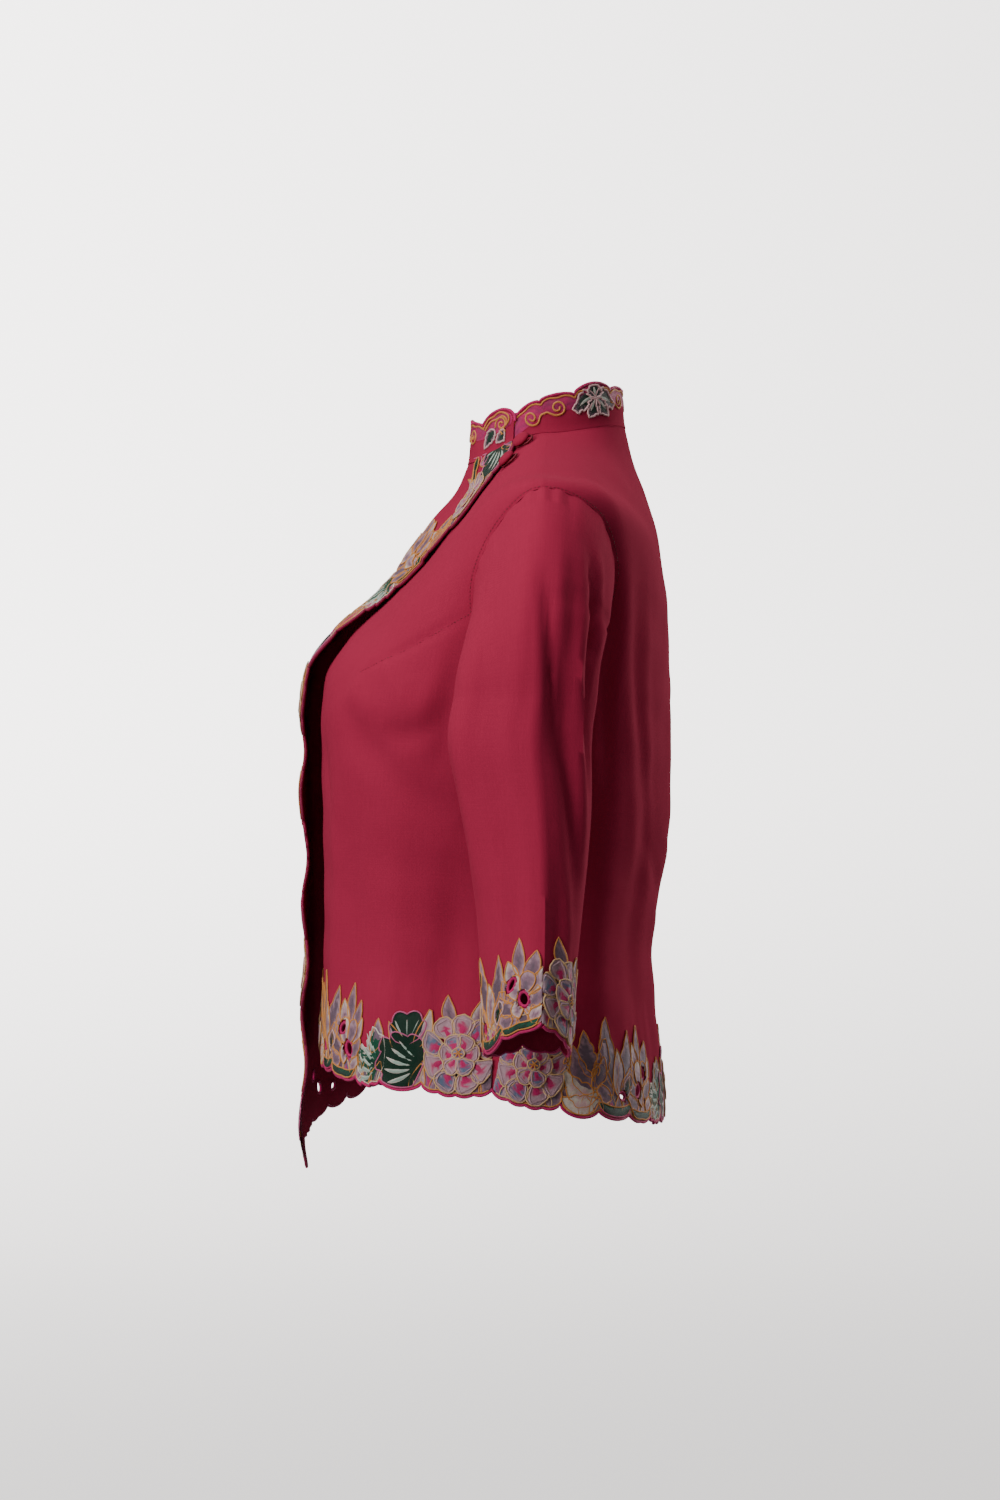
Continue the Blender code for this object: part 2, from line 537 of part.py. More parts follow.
def add_panel(name, surface, outline, holes, per_degree, spacing_a, spacing_l, outside):
    # One cut piece of cloth, laid on its surface, with the wall grown inwards
    flat, faces = cut_cloth(outline, holes, spacing_a, spacing_l)
    points = surface(flat[:, 0] / per_degree, flat[:, 1])
    corners = points[faces]
    normals = np.cross(corners[:, 1] - corners[:, 0], corners[:, 2] - corners[:, 0])
    away = corners.mean(axis=1) - np.array(outside(corners.mean(axis=1)))
    if (normals * away).sum() < 0:
        faces = faces[:, ::-1]
    # The inner side follows the surface's own normal, so that two pieces meet evenly at their seam
    ahead = outward(surface, flat[:, 0] / per_degree, flat[:, 1], 0.003 / per_degree, 0.002)
    shown = np.cross(corners[:, 1] - corners[:, 0], corners[:, 2] - corners[:, 0])
    turned = np.sign((ahead[faces].sum(axis=1) * shown).sum()) * np.sign((normals * away).sum())
    inner = points - ahead * CLOTH * turned
    count = len(points)
    directed = {(int(a), int(b)) for face in faces for a, b in zip(face, np.roll(face, -1))}
    rim = [(a, b) for a, b in directed if (b, a) not in directed]
    walls = [(b, a, a + count, b + count) for a, b in sorted(rim)]
    skin = faces.tolist() + (faces[:, ::-1] + count).tolist() + walls
    mesh = bpy.data.meshes.new(name)
    mesh.from_pydata(np.concatenate([points, inner]).tolist(), [], skin)
    return add_object(name, mesh, MAROON)


def straight(start, end, spacing):
    start, end = np.asarray(start, float), np.asarray(end, float)
    count = max(1, round(np.linalg.norm(end - start) / spacing))
    return [start + (end - start) * k / count for k in range(count)]


def hem_flat(table, count=60):
    angles = column(table, HEM_COLUMNS, "angle")
    levels = column(table, HEM_COLUMNS, "level")
    at = np.linspace(angles[0], angles[-1], count)
    return np.stack([at, curve_through(angles, levels, at)], axis=1)


def to_metres(points, per_degree=PER_DEGREE):
    return [np.asarray(p) * np.array([per_degree, 1.0]) for p in points]


def armhole_part(from_front, step=5):
    # Armhole from the shoulder seam to the side seam under the arm, down its front or its back, as flat
    # metres, with both ends half a seam gap from the seam's middle
    count = len(ARMHOLE_RING)
    seam = SIDE_SEAM * PER_DEGREE
    past = next(k for k in range(count // 4, count) if ARMHOLE_RING[k, 0] > seam)
    before, after = ARMHOLE_RING[past - 1], ARMHOLE_RING[past]
    level = np.interp(seam, [before[0], after[0]], [before[1], after[1]])
    edge = seam + SEAM_GAP / 2 * (-1.0 if from_front else 1.0)
    rows = range(step, past - 1, step) if from_front else range(count - step, past + 1, -step)
    part = [ARMHOLE_RING[k] for k in rows]
    return [np.array([edge, ARMHOLE_RING[0, 1]])] + part + [np.array([edge, level])]


def body_axis(points):
    # Points of the body's middle line, level with the given points
    return np.stack([0 * points[:, 0], 0 * points[:, 1] - 0.035, np.minimum(points[:, 2], -0.15)], axis=1)


SEAM_DEGREES = SEAM_GAP / PER_DEGREE / 2
BODY_NET = (0.022, 0.026)


def back_panel():
    half = SEAM_DEGREES * PER_DEGREE
    left = armhole_part(False)
    right = [np.array([360.0 * PER_DEGREE - p[0], p[1]]) for p in left][::-1]
    neck_left = np.array([SIDE_SEAM * PER_DEGREE + half, NECK_LEVEL])
    neck_right = np.array([270.0 * PER_DEGREE - half, NECK_LEVEL])
    ribbon = Ribbon(body_cloth, hem_flat(BACK_HEM), (180.0, 0.40), PER_DEGREE)
    laid = lay_border(ribbon.length, HEM_REPEAT, 3)
    edge, holes = border_edge(ribbon, laid, 0.0058)
    hem = to_metres(edge)
    hem[0] = np.array([SIDE_SEAM * PER_DEGREE + half, hem[0][1]])
    hem.append(np.array([270.0 * PER_DEGREE - half, BACK_HEM[-1][1]]))
    outline = straight(neck_right, neck_left, 0.016)
    outline += straight(neck_left, left[0], 0.024)
    outline += left
    outline += straight(left[-1], hem[0], 0.024)[1:]
    outline += hem
    outline += straight(hem[-1], right[0], 0.024)[1:]
    outline += right
    outline += straight(right[-1], neck_right, 0.024)[1:]
    holes = [to_metres(hole) for hole in holes]
    add_panel("back", body_cloth, outline, holes, PER_DEGREE, *BODY_NET, body_axis)


def under_edge_flat():
    # Front edge of the left front, under the lap, from the neck to the hem
    rows = [np.array([COLLAR_UNDER_ANGLE, NECK_LEVEL])]
    for z, x in ((-0.030, 0.004), (-0.070, -0.012), (-0.120, -0.025), (-0.200, UNDER_EDGE_X),
                 (-0.330, UNDER_EDGE_X), (-0.470, UNDER_EDGE_X)):
        rows.append(on_body(0, x, 2, z, math.degrees(x / 0.15), max(-0.03, -z - 0.02)))
    return np.array(rows)


def left_front_panel():
    half = SEAM_DEGREES * PER_DEGREE
    armhole = armhole_part(True)
    edge_rows = under_edge_flat()
    corner = edge_rows[-1]
    hem_table = ((corner[0], corner[1]),) + LEFT_HEM[1:]
    ribbon = Ribbon(body_cloth, hem_flat(hem_table)[::-1], (45.0, 0.40), PER_DEGREE)
    laid = lay_border(ribbon.length, HEM_REPEAT, 3)
    laid = [(name, ribbon.length - start - width, width) for name, start, width in laid][::-1]
    edge, holes = border_edge(ribbon, laid, 0.0058)
    hem = to_metres(edge)
    hem[0] = np.array([SIDE_SEAM * PER_DEGREE - half, hem[0][1]])
    front = to_metres(edge_rows)[::-1]
    neck = straight(front[-1], np.array([SIDE_SEAM * PER_DEGREE - half, NECK_LEVEL]), 0.016)
    side_neck = np.array([SIDE_SEAM * PER_DEGREE - half, NECK_LEVEL])
    outline = list(neck) + straight(side_neck, armhole[0], 0.024) + armhole
    outline += straight(armhole[-1], hem[0], 0.024)[1:] + hem
    for start, end in zip(front[:-1], front[1:]):
        outline += straight(start, end, 0.022)
    holes = [to_metres(hole) for hole in holes]
    add_panel("left_front", body_cloth, outline, holes, PER_DEGREE, *BODY_NET, body_axis)


def lap_edge_flat():
    rows = [np.array([COLLAR_TAB_ANGLE, NECK_LEVEL])]
    for x, z in LAP_EDGE:
        guess = math.degrees(math.atan2(x, 0.11))
        rows.append(on_body(0, x, 2, z, guess, max(-0.04, -z - 0.03)))
    return np.array(rows)


def right_front_panel():
    half = SEAM_DEGREES * PER_DEGREE
    armhole = [p * np.array([-1.0, 1.0]) for p in armhole_part(True)]
    lap_rows = lap_edge_flat()
    tip = lap_rows[-1]
    hem_table = RIGHT_HEM[:-1] + ((tip[0], tip[1]),)
    hem_ribbon = Ribbon(lapping_cloth, hem_flat(hem_table), (-45.0, 0.40), PER_DEGREE)
    hem_laid = lay_border(hem_ribbon.length, HEM_REPEAT, 1)
    hem_edge, hem_holes = border_edge(hem_ribbon, hem_laid, 0.0058)
    lap_ribbon = Ribbon(lapping_cloth, lap_rows[::-1], (-45.0, 0.20), PER_DEGREE)
    lap_laid = lay_border(lap_ribbon.length, LAP_REPEAT, 0)
    lap_edge, _ = border_edge(lap_ribbon, lap_laid, 0.0058, holed=False)
    hem = to_metres(hem_edge)
    hem[0] = np.array([-SIDE_SEAM * PER_DEGREE + half, hem[0][1]])
    side_neck = np.array([-SIDE_SEAM * PER_DEGREE + half, NECK_LEVEL])
    lap = to_metres(lap_edge)
    lap_top = np.array([COLLAR_TAB_ANGLE * PER_DEGREE, NECK_LEVEL])
    outline = hem + lap + straight(lap_top, side_neck, 0.016)
    outline += straight(side_neck, armhole[0], 0.024) + armhole
    outline += straight(armhole[-1], hem[0], 0.024)[1:]
    holes = [to_metres(hole) for hole in hem_holes]
    add_panel("right_front", lapping_cloth, outline, holes, PER_DEGREE, *BODY_NET, body_axis)
    return np.array(lap_edge)


def collar():
    start, end = COLLAR_UNDER_ANGLE - 360.0, COLLAR_TAB_ANGLE
    angles = np.linspace(start, end, 160)
    top = np.stack([angles, collar_height(angles)], axis=1)
    ribbon = Ribbon(collar_cloth, top, None, 0.00115)
    laid = lay_border(ribbon.length, COLLAR_REPEAT)
    edge, _ = border_edge(ribbon, laid, 0.0062)
    edge = to_metres(edge, 0.00115)
    last = np.array([end * 0.00115, collar_height(end)])
    base_end = np.array([end * 0.00115, 0.0])
    base_start = np.array([start * 0.00115, 0.0])
    outline = edge + [last] + straight(last, base_end, 0.008)[1:]
    outline += straight(base_end, base_start, 0.010) + straight(base_start, edge[0], 0.010)

    def neck_axis(points):
        return np.stack([0 * points[:, 0], 0 * points[:, 1] + 0.005, points[:, 2]], axis=1)

    add_panel("collar", collar_cloth, outline, [], 0.00115, 0.012, 0.016, neck_axis)


def cuff_along(turn):
    # Flat length of the sleeve down to the base line of the cuff's scallops
    away = np.abs((turn + 180.0) % 360.0 - 180.0)
    return CUFF_CAP + CAP_Z - CUFF_Z - CUFF_ARCH * np.exp(-(away / CUFF_ARCH_TURN) ** 3)


def sleeve_half(name, surface, front, side):
    # Half of a sleeve, from the shoulder seam's line to the underarm seam
    low, high = (0.0, 180.0) if front else (180.0, 360.0)
    gap = SEAM_GAP / SLEEVE_PER_DEGREE / 2
    low, high = low + gap, high - gap
    angles = np.linspace(low, high, 50)
    cuff = np.stack([angles, cuff_along(angles)], axis=1)
    ribbon = Ribbon(surface, cuff, None, SLEEVE_PER_DEGREE, upright=True)
    laid = lay_border(ribbon.length, CUFF_REPEAT, 0 if front else 3)
    edge, holes = border_edge(ribbon, laid, 0.0060)
    edge = to_metres(edge, SLEEVE_PER_DEGREE)
    edge.append(np.array([high * SLEEVE_PER_DEGREE, cuff_along(high)]))
    top_right = np.array([high * SLEEVE_PER_DEGREE, 0.0])
    top_left = np.array([low * SLEEVE_PER_DEGREE, 0.0])
    outline = list(edge) + straight(edge[-1], top_right, 0.022)[1:]
    outline += straight(top_right, top_left, 0.0105) + straight(top_left, edge[0], 0.022)
    holes = [to_metres(hole, SLEEVE_PER_DEGREE) for hole in holes]

    def arm_axis(points):
        return np.stack([0 * points[:, 0] + side * 0.218, 0 * points[:, 1] - 0.015, points[:, 2] - 0.06],
                        axis=1)

    add_panel(name, surface, outline, holes, SLEEVE_PER_DEGREE, 0.0150, 0.024, arm_axis)


def button_places(edge):
    # Centre, surface normal and direction away from the lapping edge of each button on the left front
    places = []
    for level in BUTTON_LEVELS:
        beside_it = np.abs(edge[:, 1] - level) < BUTTON_RADIUS
        angle = float(edge[beside_it, 0].max())
        here = body_cloth(np.array([angle]), np.array([level]))[0]
        beside = body_cloth(np.array([angle + 4.0]), np.array([level]))[0]
        along = body_cloth(np.array([angle]), np.array([level + 0.004]))[0] - here
        across = beside - here
        normal = np.cross(along, across)
        normal /= np.linalg.norm(normal)
        away = across - along * (across @ along) / (along @ along)
        away /= np.linalg.norm(away)
        per = np.linalg.norm(beside - here) / 4.0
        turn = angle + BUTTON_SETBACK / per
        centre = body_cloth(np.array([turn]), np.array([level]))[0]
        places.append((centre, normal, away))
    return places


def button(name, centre, normal):
    # Covered button: a domed disc on a short shank, turned about its own axis
    lift = 0.0004
    waist = 0.0030
    profile = [(0.0, BUTTON_HEIGHT + waist)]
    for k in range(1, 6):
        turn = math.radians(90 - 18 * k)
        profile.append((BUTTON_RADIUS * math.cos(turn), waist + 0.0012
                        + (BUTTON_HEIGHT - 0.0012) * math.sin(turn)))
    profile += [(BUTTON_RADIUS * 0.94, waist + 0.0003), (SHANK_RADIUS, waist)]
    profile += [(SHANK_RADIUS, lift), (0.0, lift)]
    mesh = bpy.data.meshes.new(name)
    mesh.from_pydata([(r, 0.0, z) for r, z in profile], [(k, k + 1) for k in range(len(profile) - 1)], [])
    made = add_object(name, mesh, BUTTON_COLOUR)
    turned = made.modifiers.new("turned", "SCREW")
    turned.steps = turned.render_steps = 20
    turned.use_merge_vertices = True
    turned.merge_threshold = 0.00005
    made.location = centre
    made.rotation_euler = Vector(normal).to_track_quat("Z", "Y").to_euler()
    return made


def loop(name, centre, normal, away):
    # Rouleau loop: from the lapping edge round the button's shank and back
    side = np.cross(normal, away)
    reach, half = BUTTON_RADIUS + 0.0016, 0.0048
    path = [(-0.0044, -half), (-0.0022, -half * 1.05)]
    for k in range(7):
        turn = math.radians(-90 + 30 * k)
        path.append((reach - half + half * math.cos(turn), half * math.sin(turn)))
    path += [(-0.0022, half * 1.05), (-0.0044, half)]
    data = bpy.data.curves.new(name, "CURVE")
    data.dimensions = "3D"
    data.bevel_depth = LOOP_RADIUS
    data.bevel_resolution = 1
    data.use_fill_caps = True
    spline = data.splines.new("POLY")
    spline.points.add(len(path) - 1)
    for point, (ahead, beside) in zip(spline.points, path):
        bow = (ahead * ahead + beside * beside) * 2.0
        at = centre + away * ahead + side * beside + normal * (LOOP_RADIUS + 0.0006 - bow)
        point.co = (*at, 1.0)
    made = bpy.data.objects.new(name, data)
    data.materials.append(material(name, BUTTON_COLOUR, 0.85))
    bpy.data.collections["kebaya_blouse"].objects.link(made)
    return made


def main():
    for old in list(bpy.data.objects):
        bpy.data.objects.remove(old)
    parts = bpy.data.collections.new("kebaya_blouse")
    bpy.context.scene.collection.children.link(parts)
    back_panel()
    left_front_panel()
    lap_edge = right_front_panel()
    collar()
    for side_name, surface, side in (("left", left_sleeve_cloth, 1.0), ("right", right_sleeve_cloth, -1.0)):
        sleeve_half(side_name + "_sleeve_front", surface, True, side)
        sleeve_half(side_name + "_sleeve_back", surface, False, side)
    for n, (centre, normal, away) in enumerate(button_places(lap_edge)):
        button(f"button_{n + 1}", centre, normal)
        loop(f"loop_{n + 1}", centre, normal, away)


main()
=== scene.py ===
import math

import bpy
import numpy as np
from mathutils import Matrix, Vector
from mathutils.geometry import delaunay_2d_cdt


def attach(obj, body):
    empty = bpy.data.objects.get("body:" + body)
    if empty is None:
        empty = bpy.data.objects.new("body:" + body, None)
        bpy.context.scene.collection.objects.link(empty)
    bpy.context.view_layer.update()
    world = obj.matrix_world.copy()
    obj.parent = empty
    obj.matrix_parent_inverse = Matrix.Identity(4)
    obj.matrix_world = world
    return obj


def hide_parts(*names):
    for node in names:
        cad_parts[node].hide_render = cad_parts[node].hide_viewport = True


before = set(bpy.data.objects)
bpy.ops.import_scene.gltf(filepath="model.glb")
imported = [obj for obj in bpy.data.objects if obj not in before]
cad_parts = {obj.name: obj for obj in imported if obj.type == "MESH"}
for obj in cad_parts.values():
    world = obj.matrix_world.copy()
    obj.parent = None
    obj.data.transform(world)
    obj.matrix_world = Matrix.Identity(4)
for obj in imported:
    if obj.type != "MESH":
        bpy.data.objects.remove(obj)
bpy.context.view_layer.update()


def dye(red, green, blue):
    # A colour as read off a screen, made linear
    def one(value):
        value = value / 255
        return value / 12.92 if value <= 0.04045 else ((value + 0.055) / 1.055) ** 2.4
    return (one(red), one(green), one(blue))


# The camera comes first. It looks at the wearer's left side
studio = {
    "cameraPlace": (3.2, -0.032, -0.232), "lens": 96.0, "sensor": 36.0, "farthest": 40.0,
    "floorLevel": -1.05, "floorRadius": 3.3, "cornerRadius": 1.4, "wallTop": 3.2,
    "cornerSteps": 12, "sides": 72,
    "paleGrey": (0.10, 0.098, 0.097), "roughness": 0.9, "specular": 0.1, "bounceGrey": 0.20,
    "glowTint": (1.0, 0.962, 0.948), "glowOut": 0.25,
    # how far up and out the paper lies, in metres, and its painted glow there: light seen only by the camera,
    # dimmer low on the floor and leaning dimmer towards +y
    "glowFrom": -0.95, "glowTo": 1.10, "glowLow": 1.30, "glowHigh": 4.1, "glowLean": -0.20,
    "skyColour": (1.0, 0.985, 0.975), "skyStrength": 0.38,
    # name, place, aim, width, watts, colour
    "lights": (
        ("keyLight", (2.3, -2.5, 0.7), (0.1, -0.05, -0.25), 1.5, 102.0, (1.0, 0.985, 0.97)),
        ("topLight", (0.5, -0.6, 2.2), (0.0, 0.0, -0.2), 1.6, 36.0, (1.0, 0.99, 0.98)),
        ("fillLight", (-1.8, 2.6, 0.6), (0.0, 0.0, -0.25), 2.2, 74.0, (1.0, 0.95, 0.93)),
    ),
}


def mathNode(tree, operation, *values):
    node = tree.nodes.new("ShaderNodeMath")
    node.operation = operation
    for socket, value in zip(node.inputs, values):
        if isinstance(value, (int, float)):
            socket.default_value = value
        else:
            tree.links.new(value, socket)
    return node.outputs[0]


def aimAt(thing, target):
    thing.rotation_euler = (Vector(target) - thing.location).to_track_quat("-Z", "Y").to_euler()


def buildCamera():
    lens = bpy.data.cameras.new("sideCamera")
    lens.lens = studio["lens"]
    lens.sensor_width = studio["sensor"]
    lens.clip_end = studio["farthest"]
    camera = bpy.data.objects.new("sideCamera", lens)
    camera.location = studio["cameraPlace"]
    camera.rotation_euler = (math.radians(90), 0.0, math.radians(90))
    bpy.context.scene.collection.objects.link(camera)
    bpy.context.scene.camera = camera


def turnedFaces(rings, sides):
    # Faces of a turned shape: its top point, then its rings of points
    faces = [(0, 1 + k, 1 + (k + 1) % sides) for k in range(sides)]
    for ring in range(rings - 1):
        low, high = 1 + ring * sides, 1 + (ring + 1) * sides
        faces += [(low + k, high + k, high + (k + 1) % sides, low + (k + 1) % sides) for k in range(sides)]
    return faces


def buildStudio():
    # Pale floor that curves up into a round wall, and soft lights. The paper's glow is painted light seen
    # only by the camera: brighter up the wall, darker towards the floor and towards +y
    level, radius, corner = studio["floorLevel"], studio["floorRadius"], studio["cornerRadius"]
    profile = [(0.0, level), (radius * 0.5, level), (radius, level)]
    for k in range(1, studio["cornerSteps"] + 1):
        turn = math.radians(90 * k / studio["cornerSteps"])
        profile.append((radius + corner * math.sin(turn), level + corner * (1 - math.cos(turn))))
    profile.append((radius + corner, studio["wallTop"]))
    steps = studio["sides"]
    points = [(0.0, 0.0, level)]
    for r, z in profile[1:]:
        points += [(r * math.cos(2 * math.pi * k / steps), r * math.sin(2 * math.pi * k / steps), z)
                   for k in range(steps)]
    mesh = bpy.data.meshes.new("studioFloor")
    mesh.from_pydata(points, [], turnedFaces(len(profile) - 1, steps))
    mesh.shade_smooth()
    floor = bpy.data.objects.new("studioFloor", mesh)
    bpy.context.scene.collection.objects.link(floor)
    paint = bpy.data.materials.new("paleFloorPaintedGlow")
    paint.use_nodes = True
    tree = paint.node_tree
    shader = tree.nodes["Principled BSDF"]
    shader.inputs["Base Color"].default_value = (*studio["paleGrey"], 1.0)
    shader.inputs["Roughness"].default_value = studio["roughness"]
    shader.inputs["Specular IOR Level"].default_value = studio["specular"]
    place, parts = tree.nodes.new("ShaderNodeTexCoord"), tree.nodes.new("ShaderNodeSeparateXYZ")
    tree.links.new(place.outputs["Object"], parts.inputs[0])
    squares = [mathNode(tree, "MULTIPLY", parts.outputs[axis], parts.outputs[axis]) for axis in (0, 1)]
    out = mathNode(tree, "SQRT", mathNode(tree, "ADD", *squares))
    grow = tree.nodes.new("ShaderNodeMapRange")
    grow.interpolation_type = "SMOOTHSTEP"
    tree.links.new(mathNode(tree, "MULTIPLY_ADD", out, studio["glowOut"], parts.outputs[2]),
                   grow.inputs["Value"])
    ends = (("From Min", "glowFrom"), ("From Max", "glowTo"), ("To Min", "glowLow"), ("To Max", "glowHigh"))
    for socket, key in ends:
        grow.inputs[socket].default_value = studio[key]
    glow = tree.nodes.new("ShaderNodeVectorMath")
    glow.operation = "SCALE"
    glow.inputs[0].default_value = studio["glowTint"]
    lean = mathNode(tree, "MULTIPLY_ADD", parts.outputs[1], studio["glowLean"], 1.0)
    tree.links.new(mathNode(tree, "MULTIPLY", grow.outputs[0], lean), glow.inputs["Scale"])
    tree.links.new(glow.outputs[0], shader.inputs["Emission Color"])
    shader.inputs["Emission Strength"].default_value = 1.0
    dull = tree.nodes.new("ShaderNodeBsdfDiffuse")  # what the paper throws back on the blouse
    dull.inputs["Color"].default_value = (studio["bounceGrey"],) * 3 + (1.0,)
    # Camera rays see the paper's painted glow; all other rays see only the dull grey
    seen, mix = tree.nodes.new("ShaderNodeLightPath"), tree.nodes.new("ShaderNodeMixShader")
    tree.links.new(seen.outputs["Is Camera Ray"], mix.inputs[0])
    tree.links.new(dull.outputs[0], mix.inputs[1])
    tree.links.new(shader.outputs[0], mix.inputs[2])
    tree.links.new(mix.outputs[0], tree.nodes["Material Output"].inputs["Surface"])
    mesh.materials.append(paint)
    for name, place, aim, width, watts, colour in studio["lights"]:
        lamp = bpy.data.lights.new(name, "AREA")
        lamp.shape = "SQUARE"
        lamp.size = width
        lamp.energy = watts
        lamp.color = colour
        light = bpy.data.objects.new(name, lamp)
        light.location = place
        aimAt(light, aim)
        bpy.context.scene.collection.objects.link(light)
    world = bpy.data.worlds.new("studioSky")
    world.use_nodes = True
    sky = world.node_tree.nodes["Background"]
    sky.inputs["Color"].default_value = (*studio["skyColour"], 1.0)
    sky.inputs["Strength"].default_value = studio["skyStrength"]
    bpy.context.scene.world = world


buildCamera()
buildStudio()
print("camera and studio ready")

